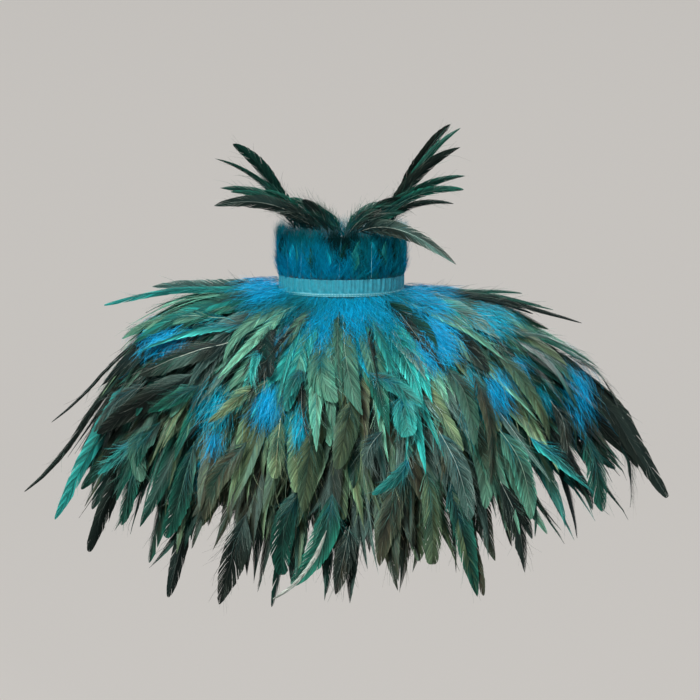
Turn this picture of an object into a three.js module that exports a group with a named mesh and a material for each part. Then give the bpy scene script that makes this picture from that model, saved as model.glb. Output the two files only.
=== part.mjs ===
// Feather shawl: a shoulder cape of overlapping feather tiers with a stand collar and a gathered neck ribbon.
// Millimetres, +Z up. The origin is the centre of the neck ring, at the seam under the ribbon.
// The shown side faces -Y and the slit that lets the wearer in is on the far side, +Y.
import * as THREE from "three";

const DEGREE = Math.PI / 180;

// The neck ring, shared by the collar, the ribbon and the top edge of the cape
const NECK_HALF_WIDTH = 62;
const NECK_HALF_DEPTH = 54;
const NECK_DIP = 5; // the ring is this much lower at the shown side and higher at the far side
const NECK_DIP_FADE = 120; // the cape is level again this far below the seam
const CLOTH_THICKNESS = 2;
const SEWING_GAP = 0.3; // between layers that are sewn face to face
const SLIT_HALF_ANGLE = 3 * DEGREE;
const RING_STEPS = 34;

// The cape from the neck seam to the lowest feather tips, a row every SECTION_STEP down the cloth.
// side columns run over the shoulders, front columns over the chest and the back.
const SECTION_STEP = 55;
const CAPE_SECTIONS = [
  { sideOut: NECK_HALF_WIDTH, sideDrop: 2, frontOut: NECK_HALF_DEPTH, frontDrop: 2 },
  { sideOut: 116, sideDrop: 14, frontOut: 85, frontDrop: 47 },
  { sideOut: 167, sideDrop: 36, frontOut: 108, frontDrop: 97 },
  { sideOut: 204, sideDrop: 77, frontOut: 125, frontDrop: 149 },
  { sideOut: 226, sideDrop: 127, frontOut: 136, frontDrop: 203 },
  { sideOut: 240, sideDrop: 180, frontOut: 144, frontDrop: 257 },
  { sideOut: 249, sideDrop: 234, frontOut: 149, frontDrop: 312 },
  { sideOut: 255, sideDrop: 289, frontOut: 152, frontDrop: 367 },
];
// Rows of the backing cloth down from the seam. It ends at the last, and feathers hang on below it.
const CLOTH_ROWS = [0, 14, 42, 76, 110, 141, 172];

// The stand collar and the ribbon over its seam
const COLLAR_HEIGHT = 62;
const SEAM_HEIGHT = 0.5; // the collar and the ribbon start this far above the cape's edge
const RIBBON_HEIGHT = 17.5;
const RIBBON_THICKNESS = 1.3;
const RIBBON_GATHERS = 32;
const GATHER_DEPTH = 0.7;
const RIBBON_STEPS = 2 * RIBBON_GATHERS;
const RIBBON_PROFILE = [
  { height: 0, proud: 0.9, gathered: 0 },
  { height: 4, proud: 0, gathered: 0.4 },
  { height: RIBBON_HEIGHT, proud: 0, gathered: 1 },
];

// Feather locks: each is a thin blade with a raised quill line that grows out of its tape's edge
const LOCK_SECTIONS = [
  { at: 0.36, spread: 1 },
  { at: 0.78, spread: 0.84 },
];
const STRAY_SECTIONS = [
  { at: 0.22, spread: 0.8 },
  { at: 0.5, spread: 1 },
  { at: 0.8, spread: 0.84 },
];
const ROOT_SHARE = 0.34; // a root takes this share of the tape's edge that it has
const LOCK_OVERLAP = 1.3; // a lock is this much wider than the space it has
const QUILL_THICKNESS = 1.8;
const EDGE_THICKNESS = 0.8;
const STRAY_LIFT = 6; // a stray rides this much higher than its tier
const REACH_SPREAD = 0.22; // locks differ in length by this share
const LEAN_SPREAD = 0.3; // and lean sideways by up to half of this share of their space
const TAPE_GAP = 0.8;
const TAPE_THICKNESS = 2;
const TAPE_HEIGHT = 8;
const LOCK_SEAT = TAPE_GAP + TAPE_THICKNESS / 2; // height of a lock's root over the cloth

// The tiers lie like shingles: each rises TIER_RISE for every TIER_STEP that it runs over the next ones.
// Every second lock of a tier rides higher by neighbourLift. The ends of a tier stand off by TIER_BEND, and
// by rightBend more over the shoulder on the photo's right.
const FIRST_TIER = 12;
const TIER_STEP = 38;
const TIER_RISE = 9.6;
const TIER_BEND = 6;
const TIERS = [
  { name: "feather_tier_1", reach: 135, locks: 27, neighbourLift: 8, rightBend: 0 },
  { name: "feather_tier_2", reach: 138, locks: 30, neighbourLift: 5, rightBend: 8 },
  { name: "feather_tier_3", reach: 142, locks: 31, neighbourLift: 5, rightBend: 18 },
  { name: "feather_tier_4", reach: 146, locks: 33, neighbourLift: 5, rightBend: 18 },
  { name: "feather_tier_5", reach: 138, locks: 33, neighbourLift: 5, rightBend: 18 },
];

// Long feathers that break the outline. Each takes the place of the lock nearest to its angle, which is 0 at
// the shown side and positive to the photo's right. sweep moves the tip round the cape.
const STRAYS = [
  { tier: 1, angle: -97, reach: 98, width: 18, flare: 18, sweep: -4 },
  { tier: 1, angle: -84, reach: 138, width: 14, flare: 22, sweep: -8 },
  { tier: 1, angle: 83, reach: 144, width: 16, flare: 18, sweep: 8 },
  { tier: 1, angle: 99, reach: 118, width: 14, flare: 18, sweep: 4 },
  { tier: 3, angle: -80, reach: 226, width: 16, flare: 16, sweep: -8 },
  { tier: 4, angle: -74, reach: 186, width: 22, flare: 6, sweep: -10 },
  { tier: 3, angle: 82, reach: 234, width: 22, flare: 10, sweep: 6 },
  { tier: 5, angle: -35, reach: 174, width: 18, flare: 4, sweep: -4 },
  { tier: 5, angle: -10, reach: 156, width: 18, flare: 4, sweep: -16 },
  { tier: 5, angle: 28, reach: 162, width: 20, flare: 4, sweep: 4 },
];

// Soft upright locks that cover the collar, from the ribbon to the collar's rim
const COLLAR_LOCKS = 22;
const COLLAR_LOCK_REACH = 38;
const COLLAR_LOCK_RISE = 1.5;
const COLLAR_NEIGHBOUR_LIFT = 3.6;
const COLLAR_TAPE_HEIGHT = 5;
const COLLAR_TAPE_BOTTOM = SEAM_HEIGHT + RIBBON_HEIGHT + SEWING_GAP;

// Plumes at the collar's rim, from the photo's right to its left: the root's angle on the neck ring, then
// the tip's place and the blade's width
const PLUME_TAPE_BOTTOM = COLLAR_HEIGHT + SEWING_GAP;
const PLUME_TAPE_HEIGHT = 4;
const PLUME_ROOT_HALF = 1.4; // in degrees
const PLUME_BOW = 0.28; // a quill bows upwards by this share of its length
const PLUME_BOW_AT = 0.4; // and most at this share of its way out
const PLUME_FACING = 0.5; // a blade faces this share of its root's angle
const PLUME_SECTIONS = [
  { at: 0.2, spread: 0.35 },
  { at: 0.4, spread: 0.75 },
  { at: 0.65, spread: 1 },
  { at: 0.86, spread: 0.8 },
];
const PLUME_BUNCHES = [
  {
    name: "collar_plumes_right",
    from: 60,
    to: 10,
    plumes: [
      { angle: 54, tipX: 111, tipY: -46, tipZ: 171, width: 17 },
      { angle: 47, tipX: 121, tipY: -54, tipZ: 167, width: 8 },
      { angle: 40, tipX: 120, tipY: -64, tipZ: 147, width: 14 },
      { angle: 33, tipX: 124, tipY: -80, tipZ: 118, width: 10 },
      { angle: 26, tipX: 122, tipY: -93, tipZ: 104, width: 10 },
      { angle: 16, tipX: 114, tipY: -106, tipZ: 30, width: 18 },
    ],
  },
  {
    name: "collar_plumes_left",
    from: -6,
    to: -54,
    plumes: [
      { angle: -12, tipX: -39, tipY: -74, tipZ: 94, width: 12 },
      { angle: -22, tipX: -126, tipY: -92, tipZ: 88, width: 17 },
      { angle: -31, tipX: -121, tipY: -76, tipZ: 106, width: 14 },
      { angle: -40, tipX: -128, tipY: -58, tipZ: 136, width: 8 },
      { angle: -48, tipX: -110, tipY: -48, tipZ: 151, width: 16 },
    ],
  },
];

// The hidden fastening: one plain plate across the slit, on the ribbon's two ends
const CLASP_WIDTH = 26;
const CLASP_HEIGHT = 10;
const CLASP_THICKNESS = 1.6;
const CLASP_CORNER = 2.5;

// A closed solid through rings of points, with flat ends
function loft(rings) {
  const around = rings[0].length;
  const faces = [];
  const quad = (a, b, c, d) => faces.push(a, b, c, a, c, d);
  for (let r = 0; r + 1 < rings.length; r++) {
    for (let i = 0; i < around; i++) {
      const j = (i + 1) % around;
      const here = r * around;
      quad(here + i, here + j, here + around + j, here + around + i);
    }
  }
  const last = (rings.length - 1) * around;
  for (let i = 0; i < around / 2 - 1; i++) {
    const across = around - 1 - i;
    quad(across, across - 1, i + 1, i);
    quad(last + i, last + i + 1, last + across - 1, last + across);
  }
  return new THREE.BufferGeometry().setFromPoints(rings.flat()).setIndex(faces);
}

// A tape with blades that grow out of one edge, as one closed solid. tapeAt gives the tape's corners at an
// angle: back and edge of its outer face, then edge and back of its inner face. A blade has the angles of
// its root, which follow on from the last blade's, then its rings, along the outer face and back along the
// inner one, and its tip.
function comb(from, to, tapeAt, blades) {
  const points = [];
  const faces = [];
  const put = (point) => points.push(point) - 1;
  const quad = (a, b, c, d) => faces.push(a, b, c, a, c, d);
  const start = tapeAt(from).map(put);
  let here = start;
  const advance = (angle, edgeClosed) => {
    const next = tapeAt(angle).map(put);
    quad(here[0], here[1], next[1], next[0]);
    if (edgeClosed) quad(here[1], here[2], next[2], next[1]);
    quad(here[2], here[3], next[3], next[2]);
    quad(here[3], here[0], next[0], next[3]);
    here = next;
    return here;
  };
  for (const { root, rings, tip } of blades) {
    const stations = root.map((angle, i) => advance(angle, i === 0));
    let ring = [...stations.map((corners) => corners[1]), ...stations.reverse().map((corners) => corners[2])];
    const around = ring.length;
    for (const section of rings) {
      const next = section.map(put);
      for (let i = 0; i < around; i++) {
        const j = (i + 1) % around;
        // both faces split from the quill line outwards, so that a bent blade keeps its thickness
        if (i % (around / 2) === 0) quad(ring[j], ring[i], next[i], next[j]);
        else quad(ring[i], next[i], next[j], ring[j]);
      }
      ring = next;
    }
    const end = put(tip);
    ring.forEach((corner, i) => faces.push(ring[(i + 1) % around], corner, end));
  }
  advance(to, true);
  quad(...[...start].reverse());
  quad(...here);
  return new THREE.BufferGeometry().setFromPoints(points).setIndex(faces);
}

// An even spread of numbers between -0.5 and 0.5 that is the same on every run
function wobble(row, item) {
  const wave = Math.sin(row * 12.9898 + item * 78.233) * 43758.5453;
  return wave - Math.floor(wave) - 0.5;
}

const columns = {};
for (const name of Object.keys(CAPE_SECTIONS[0])) {
  columns[name] = new THREE.SplineCurve(
    CAPE_SECTIONS.map((row, i) => new THREE.Vector2(i * SECTION_STEP, row[name])),
  );
}

function capeSize(name, along) {
  const whole = SECTION_STEP * (CAPE_SECTIONS.length - 1);
  return columns[name].getPoint(THREE.MathUtils.clamp(along / whole, 0, 1)).y;
}

// A point on the outer face of the backing cloth, and on the same flowing form below its hem
function capeFace(angle, along) {
  const across = Math.sin(angle);
  const ahead = Math.cos(angle);
  const drop = capeSize("sideDrop", along) * across ** 2 + capeSize("frontDrop", along) * ahead ** 2;
  const dip = NECK_DIP * ahead * Math.max(0, 1 - along / NECK_DIP_FADE);
  return new THREE.Vector3(
    capeSize("sideOut", along) * across,
    -capeSize("frontOut", along) * ahead,
    -drop - dip,
  );
}

// The same point raised by lift, square to the face
function capePoint(angle, along, lift) {
  const point = capeFace(angle, along);
  const turn = 0.01;
  const step = 0.5;
  const round = capeFace(angle + turn, along).sub(capeFace(angle - turn, along));
  const down = capeFace(angle, along + step).sub(capeFace(angle, Math.max(0, along - step)));
  return point.addScaledVector(down.cross(round).normalize(), lift);
}

// Length on the cape for one radian round it
function capeSpan(angle, along) {
  return Math.hypot(
    capeSize("sideOut", along) * Math.cos(angle),
    capeSize("frontOut", along) * Math.sin(angle),
  );
}

// A point on the outer face of the collar cloth, raised by lift
function collarPoint(angle, height, lift) {
  const round = new THREE.Vector3(
    NECK_HALF_WIDTH * Math.sin(angle),
    -NECK_HALF_DEPTH * Math.cos(angle),
    height - NECK_DIP * Math.cos(angle),
  );
  const out = new THREE.Vector3(
    NECK_HALF_DEPTH * Math.sin(angle),
    -NECK_HALF_WIDTH * Math.cos(angle),
    0,
  ).normalize();
  return round.addScaledVector(out, CLOTH_THICKNESS + lift);
}

// Length on the collar for one radian round it
function collarSpan(angle) {
  return Math.hypot(NECK_HALF_WIDTH * Math.cos(angle), NECK_HALF_DEPTH * Math.sin(angle));
}

// The two faces that locks lie on. turn is the way round that keeps a comb's blades ahead of its tape.
const CAPE = { pointAt: capePoint, spanAt: capeSpan, turn: 1 };
const COLLAR = { pointAt: collarPoint, spanAt: collarSpan, turn: -1 };

// Angles from one edge of the slit round the shown side to the other edge
function ringAngles(steps, from = -Math.PI + SLIT_HALF_ANGLE, to = Math.PI - SLIT_HALF_ANGLE) {
  return Array.from({ length: steps + 1 }, (_, i) => from + ((to - from) * i) / steps);
}

// A wall that follows the ring: pointAt(angle, row, lift) gives its faces at lifts inner and outer
function ringWall(angles, rows, pointAt, inner, outer) {
  return loft(
    angles.map((angle) => {
      const outside = rows.map((row) => pointAt(angle, row, outer));
      const inside = rows.map((row) => pointAt(angle, row, inner));
      return [...outside, ...inside.reverse()];
    }),
  );
}

// count places round the cape, evenly spaced along its curve at that distance from the neck
function spacedAngles(count, along) {
  const fine = ringAngles(360);
  const travelled = [0];
  for (let i = 1; i < fine.length; i++) {
    travelled.push(travelled[i - 1] + capeSpan(fine[i], along) * (fine[i] - fine[i - 1]));
  }
  return Array.from({ length: count }, (_, i) => {
    const wanted = ((i + 0.5) * travelled.at(-1)) / count;
    const after = travelled.findIndex((length) => length >= wanted);
    const share = (wanted - travelled[after - 1]) / (travelled[after] - travelled[after - 1]);
    return THREE.MathUtils.lerp(fine[after - 1], fine[after], share);
  });
}

// The corners of a tape on one of the faces, for comb
function tapeOn({ pointAt }, back, edge) {
  const outer = TAPE_GAP + TAPE_THICKNESS;
  return (angle) => [
    pointAt(angle, back, outer),
    pointAt(angle, edge, outer),
    pointAt(angle, edge, TAPE_GAP),
    pointAt(angle, back, TAPE_GAP),
  ];
}

// One lock that lies along a face from its root at the tape's edge, over a space round the ring or with a
// stray's own width. rise is its slope away from the face, bend is how far the face's locks stand off at the
// end of their usual run, flare bends its own tip off, lean turns its tip round the ring, and raised lifts
// it over its neighbours. Only the tips of neighbours end at different runs, so that they never cross.
function lock({ pointAt, spanAt, turn }, row) {
  const { angle, space, edge, reach, usualRun, width, rise, bend, flare, lean, raised } = row;
  const fullRun = width ? reach : usualRun;
  const sections = width ? STRAY_SECTIONS : LOCK_SECTIONS;
  const place = (run) => {
    const standing = bend * Math.min(1, run / usualRun) ** 3 + flare * (run / reach) ** 3;
    const raisedHere = raised * Math.min(1, run / (fullRun * sections[0].at));
    return {
      heading: angle + (lean * run) / reach,
      along: edge + run,
      lift: LOCK_SEAT + rise * run + standing + raisedHere,
    };
  };
  const rings = sections.map(({ at, spread }) => {
    const { heading, along, lift } = place(at * fullRun);
    const across = width ? width / spanAt(heading, along) : space * LOCK_OVERLAP;
    const half = (turn * spread * across) / 2;
    const corner = (side, outward) => {
      const thickness = side ? EDGE_THICKNESS : QUILL_THICKNESS;
      return pointAt(heading + side * half, along, lift + (outward * thickness) / 2);
    };
    return [corner(-1, 1), corner(0, 1), corner(1, 1), corner(1, -1), corner(0, -1), corner(-1, -1)];
  });
  const end = place(reach);
  const halfRoot = (turn * ROOT_SHARE * space) / 2;
  const root = [angle - halfRoot, angle, angle + halfRoot];
  return { root, rings, tip: pointAt(end.heading, end.along, end.lift) };
}

// A tier: its sewn tape with the locks and the long strays that hang from it
function featherTier(tier) {
  const { reach, locks, neighbourLift, rightBend } = TIERS[tier - 1];
  const edge = FIRST_TIER + (tier - 1) * TIER_STEP;
  const angles = spacedAngles(locks, edge + reach / 2);
  const rows = angles.map((angle, i) => {
    const space = i ? angle - angles[i - 1] : angles[1] - angle;
    return {
      angle,
      space,
      edge,
      reach: reach * (1 + REACH_SPREAD * wobble(tier, i)),
      usualRun: reach,
      rise: TIER_RISE / TIER_STEP,
      bend: TIER_BEND + rightBend * Math.max(0, Math.sin(angle)) ** 2,
      flare: 0,
      lean: LEAN_SPREAD * space * wobble(tier + TIERS.length, i),
      raised: i % 2 ? neighbourLift : 0,
    };
  });
  for (const { angle, reach, width, flare, sweep } of STRAYS.filter((row) => row.tier === tier)) {
    const away = angles.map((place) => Math.abs(place - angle * DEGREE));
    const nearest = rows[away.indexOf(Math.min(...away))];
    const lean = sweep / capeSpan(nearest.angle, edge + reach);
    Object.assign(nearest, { reach, width, flare, lean, raised: STRAY_LIFT });
  }
  const blades = rows.map((row) => lock(CAPE, row));
  const slit = Math.PI - SLIT_HALF_ANGLE;
  return comb(-slit, slit, tapeOn(CAPE, edge - TAPE_HEIGHT, edge), blades);
}

// The backing cloth, open below and at the slit
function capeBacking() {
  return ringWall(ringAngles(RING_STEPS), CLOTH_ROWS, capePoint, -CLOTH_THICKNESS, 0);
}

function collarBacking() {
  const rows = [COLLAR_HEIGHT, SEAM_HEIGHT];
  return ringWall(ringAngles(RING_STEPS), rows, collarPoint, -CLOTH_THICKNESS, 0);
}

// The ribbon: gathered above, with a flat stitched edge below
function neckRibbon() {
  const profile = [...RIBBON_PROFILE].reverse();
  const rings = ringAngles(RIBBON_STEPS).map((angle, i) => {
    const gather = i % 2 ? GATHER_DEPTH : 0;
    const outside = profile.map(({ height, proud, gathered }) =>
      collarPoint(angle, SEAM_HEIGHT + height, SEWING_GAP + RIBBON_THICKNESS + proud + gather * gathered),
    );
    const inside = profile.map(({ height }) => collarPoint(angle, SEAM_HEIGHT + height, SEWING_GAP));
    return [...outside, ...inside.reverse()];
  });
  return loft(rings);
}

function collarFeathers() {
  const edge = COLLAR_TAPE_BOTTOM + COLLAR_TAPE_HEIGHT;
  const halfSpace = Math.PI / COLLAR_LOCKS;
  const angles = ringAngles(COLLAR_LOCKS - 1, Math.PI - halfSpace, halfSpace - Math.PI);
  const blades = angles.map((angle, i) =>
    lock(COLLAR, {
      angle,
      space: 2 * halfSpace,
      edge,
      reach: COLLAR_LOCK_REACH * (1 + REACH_SPREAD * wobble(0, i)),
      usualRun: COLLAR_LOCK_REACH,
      rise: COLLAR_LOCK_RISE / COLLAR_LOCK_REACH,
      bend: 0,
      flare: 0,
      lean: 0,
      raised: i % 2 ? COLLAR_NEIGHBOUR_LIFT : 0,
    }),
  );
  const slit = Math.PI - SLIT_HALF_ANGLE;
  return comb(slit, -slit, tapeOn(COLLAR, COLLAR_TAPE_BOTTOM, edge), blades);
}

// One plume along a bowed quill from the collar's rim to its tip, its flat side outwards
function plume({ angle, tipX, tipY, tipZ, width }) {
  const rim = PLUME_TAPE_BOTTOM + PLUME_TAPE_HEIGHT;
  const start = collarPoint(angle * DEGREE, rim, -CLOTH_THICKNESS / 2);
  const tip = new THREE.Vector3(tipX, tipY, tipZ);
  const bow = start.clone().lerp(tip, PLUME_BOW_AT);
  bow.z += PLUME_BOW * start.distanceTo(tip);
  const quill = new THREE.QuadraticBezierCurve3(start, bow, tip);
  const facing = PLUME_FACING * angle * DEGREE;
  const outwards = new THREE.Vector3(Math.sin(facing), -Math.cos(facing), 0);
  const rings = PLUME_SECTIONS.map(({ at, spread }) => {
    const middle = quill.getPoint(at);
    const sideways = quill.getTangent(at).cross(outwards).setLength((spread * width) / 2);
    const corner = (side, outward) => {
      const thickness = side ? EDGE_THICKNESS : QUILL_THICKNESS;
      const edge = middle.clone().addScaledVector(sideways, side);
      return edge.addScaledVector(outwards, (outward * thickness) / 2);
    };
    return [corner(1, 1), corner(0, 1), corner(-1, 1), corner(-1, -1), corner(0, -1), corner(1, -1)];
  });
  const root = [angle + PLUME_ROOT_HALF, angle, angle - PLUME_ROOT_HALF].map((place) => place * DEGREE);
  return { root, rings, tip };
}

// A bunch of plumes on a short tape of its own, along the collar's rim
function plumeBunch({ from, to, plumes }) {
  const rim = PLUME_TAPE_BOTTOM + PLUME_TAPE_HEIGHT;
  const tapeAt = (angle) => [
    collarPoint(angle, PLUME_TAPE_BOTTOM, 0),
    collarPoint(angle, rim, 0),
    collarPoint(angle, rim, -CLOTH_THICKNESS),
    collarPoint(angle, PLUME_TAPE_BOTTOM, -CLOTH_THICKNESS),
  ];
  return comb(from * DEGREE, to * DEGREE, tapeAt, plumes.map(plume));
}

function clasp() {
  const halfWidth = CLASP_WIDTH / 2;
  const halfHeight = CLASP_HEIGHT / 2;
  const outline = new THREE.Shape();
  outline.moveTo(CLASP_CORNER - halfWidth, -halfHeight);
  outline.lineTo(halfWidth - CLASP_CORNER, -halfHeight);
  outline.absarc(halfWidth - CLASP_CORNER, CLASP_CORNER - halfHeight, CLASP_CORNER, -Math.PI / 2, 0);
  outline.absarc(halfWidth - CLASP_CORNER, halfHeight - CLASP_CORNER, CLASP_CORNER, 0, Math.PI / 2);
  outline.absarc(CLASP_CORNER - halfWidth, halfHeight - CLASP_CORNER, CLASP_CORNER, Math.PI / 2, Math.PI);
  outline.absarc(CLASP_CORNER - halfWidth, CLASP_CORNER - halfHeight, CLASP_CORNER, Math.PI, 1.5 * Math.PI);
  const options = { depth: CLASP_THICKNESS, bevelEnabled: false, curveSegments: 2 };
  return new THREE.ExtrudeGeometry(outline, options);
}

const shawl = new THREE.Group();

function add(name, geometry, color, roughness = 0.8, metalness = 0) {
  const mesh = new THREE.Mesh(geometry, new THREE.MeshStandardMaterial({ color, roughness, metalness }));
  mesh.name = name;
  shawl.add(mesh);
  return mesh;
}

add("cape_backing", capeBacking(), 0x17383c, 0.9);
add("collar_backing", collarBacking(), 0x17383c, 0.9);
add("neck_ribbon", neckRibbon(), 0x2e91a1, 0.55);
add("collar_feathers", collarFeathers(), 0x06708f, 0.85);

const TIER_COLOURS = [0x0a78a0, 0x2a6a63, 0x41604f, 0x4f6350, 0x24322b];
TIERS.forEach(({ name }, i) => add(name, featherTier(i + 1), TIER_COLOURS[i], 0.6));
PLUME_BUNCHES.forEach((bunch) => add(bunch.name, plumeBunch(bunch), 0x1d4038, 0.6));

const plate = add("clasp", clasp(), 0x8d949a, 0.35, 1);
plate.rotation.x = Math.PI / 2;
plate.position.set(
  0,
  NECK_HALF_DEPTH + CLOTH_THICKNESS + RIBBON_THICKNESS + GATHER_DEPTH + 2 * SEWING_GAP + CLASP_THICKNESS,
  SEAM_HEIGHT + RIBBON_HEIGHT / 2 + NECK_DIP,
);

export default shawl;
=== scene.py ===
import math

import bpy
import numpy as np
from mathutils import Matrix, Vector
from mathutils.kdtree import KDTree


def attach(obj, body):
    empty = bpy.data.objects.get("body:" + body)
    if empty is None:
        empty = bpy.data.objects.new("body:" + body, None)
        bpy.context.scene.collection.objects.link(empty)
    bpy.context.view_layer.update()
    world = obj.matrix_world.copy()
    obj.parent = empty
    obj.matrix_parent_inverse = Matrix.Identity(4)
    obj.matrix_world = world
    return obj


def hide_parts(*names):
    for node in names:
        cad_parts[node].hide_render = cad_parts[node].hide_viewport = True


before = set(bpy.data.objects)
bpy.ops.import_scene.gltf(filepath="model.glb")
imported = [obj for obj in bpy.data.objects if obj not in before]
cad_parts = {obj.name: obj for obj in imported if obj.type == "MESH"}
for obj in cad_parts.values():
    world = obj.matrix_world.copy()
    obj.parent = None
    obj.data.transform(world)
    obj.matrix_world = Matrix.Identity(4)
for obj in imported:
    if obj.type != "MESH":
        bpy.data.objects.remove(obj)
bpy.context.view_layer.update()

MM = 0.001
CM = 10
DEGREE = math.pi / 180
random = np.random.default_rng(41)

# The photograph's view
IMAGE_SIDE = 700
PIXEL_MM = 1.05
VIEW_CENTRE = np.array([9.0, 0.0, -62.0])
VIEW_DISTANCE = 1900.0
VIEW_ELEVATION = 4 * DEGREE
VIEW_BACK = np.array([0, -math.cos(VIEW_ELEVATION), math.sin(VIEW_ELEVATION)])
VIEW_UP = np.array([0, math.sin(VIEW_ELEVATION), math.cos(VIEW_ELEVATION)])
VIEW_PLACE = VIEW_CENTRE + VIEW_BACK * VIEW_DISTANCE
SENSOR_WIDTH = 36.0

# The skin that the feathers lie on, as in the part's source
NECK_HALF_WIDTH = 62.0
NECK_HALF_DEPTH = 54.0
NECK_DIP = 5.0
NECK_DIP_FADE = 120.0
CLOTH_THICKNESS = 2.0
SEWING_GAP = 0.3
SLIT_HALF_ANGLE = 3 * DEGREE
SLIT = math.pi - SLIT_HALF_ANGLE
SECTION_STEP = 55.0
CAPE_SECTIONS = {
    "side_out": (62, 116, 167, 204, 226, 240, 249, 255),
    "side_drop": (2, 14, 36, 77, 127, 180, 234, 289),
    "front_out": (54, 85, 108, 125, 136, 144, 149, 152),
    "front_drop": (2, 47, 97, 149, 203, 257, 312, 367),
}
CLOTH_HEM = 172.0
SMALL_TURN = 0.01
SMALL_STEP = 0.5
COLLAR_HEIGHT = 62.0
SEAM_HEIGHT = 0.5
RIBBON_HEIGHT = 17.5

# The tiers. Places, reach and bend are as in the part's source, the rest is the scene's own. The shade column
# lightens the top tiers and darkens those towards the hem, and the root shade is a painted shade on each
# feather's root, where the tier above covers it.
FIRST_TIER = 12.0
TIER_STEP = 38.0
TIER_RISE = 9.6
TIER_SLOPE = TIER_RISE / TIER_STEP
TIER_BEND = 6.0
LOCK_SEAT = 1.8
TAPE_HEIGHT = 8.0
TAPE_LIFT = 1.4
TAPE_STEPS = 121
TAPE_COLOUR = (16, 66, 72)
TIER_COLUMNS = ("slot", "reach", "right_bend", "feathers", "shortest", "longest", "shade", "root_painted_shade")
TIER_ROWS = (
    ("upper_feathers", 135, 0, 120, 0.68, 1.12, 1.2, 0.8),
    ("upper_feathers", 138, 8, 170, 0.68, 1.12, 1.2, 0.45),
    ("middle_feathers", 142, 18, 190, 0.68, 1.12, 0.95, 0.36),
    ("lower_feathers", 146, 18, 210, 0.66, 1.1, 0.72, 0.3),
    ("lower_feathers", 138, 18, 220, 0.62, 1.06, 0.52, 0.26),
)
TIERS = [dict(zip(TIER_COLUMNS, row)) for row in TIER_ROWS]

# How much closer the left side and the right shoulder hang, and the outer layer that all feathers make
LEFT_HANG = 0.22
SHOULDER_HANG = 0.55
SHOULDER_FADE = (110, 210)
OUTER_RUN = 130
OUTER_BEND = 18
OUTER_BEND_ALONG = (130, 200)
OUTER_COVER = 3

# The long feathers that break the outline: angle in degrees, the rest in millimetres. Some stand for a long
# lock of the part's source, near its place, and the others are the scene's own.
STRAY_ROLL = 60 * DEGREE
STRAY_LIFT = 6
STRAY_COLUMNS = ("tier", "angle", "reach", "width", "flare", "sweep", "kind")
STRAYS = (
    (1, -91, 100, 18, 22, -4, "slate"),
    (1, -84, 132, 7, 33, -8, "teal"),
    (1, 83, 144, 7, 25, 8, "black"),
    (1, 99, 118, 6, 25, 4, "black"),
    (1, 86, 122, 5, 21, 0, "dark_green"),
    (1, 80, 112, 5, 12, -4, "black"),
    (1, 94, 98, 5, 20, 0, "dark_green"),
    (2, -80, 196, 4, 26, -8, "black"),
    (3, -80, 226, 8, 34, -8, "black"),
    (4, -72, 204, 18, 9, -10, "teal"),
    (3, 82, 234, 20, 10, 6, "black"),
    (3, 77, 200, 18, 6, 4, "black"),
    (3, 88, 208, 16, 4, 4, "dark_green"),
    (4, 80, 160, 18, 6, 0, "black"),
    (5, -60, 174, 18, 4, -2, "black"),
    (5, -35, 174, 18, 4, -4, "black"),
    (5, -10, 156, 18, 4, -16, "dark_green"),
    (5, 28, 162, 20, 4, 4, "bronze"),
)

# Colours of each kind of feather, in 0 to 255 as a screen shows them
DOWN, HEART, VANE, EDGE, TIP, QUILL = range(6)
KINDS = {
    "azure": ((0, 140, 196), (2, 108, 150), (4, 122, 154), (14, 152, 172), (12, 112, 126), (120, 196, 206)),
    "teal": ((2, 106, 134), (10, 76, 74), (22, 106, 100), (48, 146, 140), (34, 132, 126), (104, 180, 172)),
    "grey_green": ((8, 88, 96), (42, 74, 61), (72, 112, 93), (56, 120, 102), (82, 126, 105), (150, 182, 160)),
    "slate": ((16, 72, 80), (24, 40, 38), (44, 62, 58), (74, 98, 92), (54, 80, 74), (160, 180, 172)),
    "olive": ((20, 72, 66), (58, 66, 44), (84, 100, 70), (72, 108, 82), (88, 104, 74), (166, 172, 138)),
    "bronze": ((16, 52, 48), (34, 31, 24), (54, 50, 37), (56, 66, 50), (44, 43, 33), (128, 122, 98)),
    "dark_green": ((4, 60, 68), (7, 26, 22), (11, 46, 38), (20, 80, 66), (13, 58, 47), (84, 128, 112)),
    "black": ((10, 30, 32), (8, 8, 7), (15, 15, 12), (30, 36, 30), (14, 15, 12), (150, 160, 150)),
    "ivory": (
        (120, 140, 138), (170, 176, 166), (176, 182, 174), (150, 164, 156), (186, 190, 182), (214, 214, 204),
    ),
}
KIND_NAMES = tuple(KINDS)

# How often each kind comes in a tier
KIND_SHARES = (
    {"azure": 1, "teal": 2, "grey_green": 4, "slate": 2, "dark_green": 4, "black": 2},
    {"teal": 2, "grey_green": 4, "slate": 2, "olive": 2, "dark_green": 4, "black": 3},
    {"teal": 1, "grey_green": 3, "slate": 1, "olive": 4, "bronze": 2, "dark_green": 3, "black": 3},
    {"teal": 1, "grey_green": 2, "slate": 1, "olive": 4, "bronze": 3, "dark_green": 4, "black": 3},
    {"slate": 1, "olive": 2, "bronze": 2, "dark_green": 4, "black": 4},
)


# Small helpers

def linear(colour):
    """A screen colour of 0 to 255 as linear light."""
    value = np.asarray(colour, float) / 255
    return np.where(value <= 0.04045, value / 12.92, ((value + 0.055) / 1.055) ** 2.4)


def smooth(low, high, value):
    """0 below low, 1 above high, and a soft step between them."""
    step = np.clip((value - low) / (high - low), 0, 1)
    return step * step * (3 - 2 * step)


def mix(first, second, share):
    return first + (second - first) * share


def unit(vectors):
    return vectors / np.maximum(np.linalg.norm(vectors, axis=-1, keepdims=True), 1e-9)


def path_length(points, axis):
    """Length of the path that the points make along an axis."""
    return np.linalg.norm(np.diff(points, axis=axis), axis=-1).sum(axis)


def spread(low, high, *size):
    """Values by chance between low and high."""
    return random.uniform(low, high, size)


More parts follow.
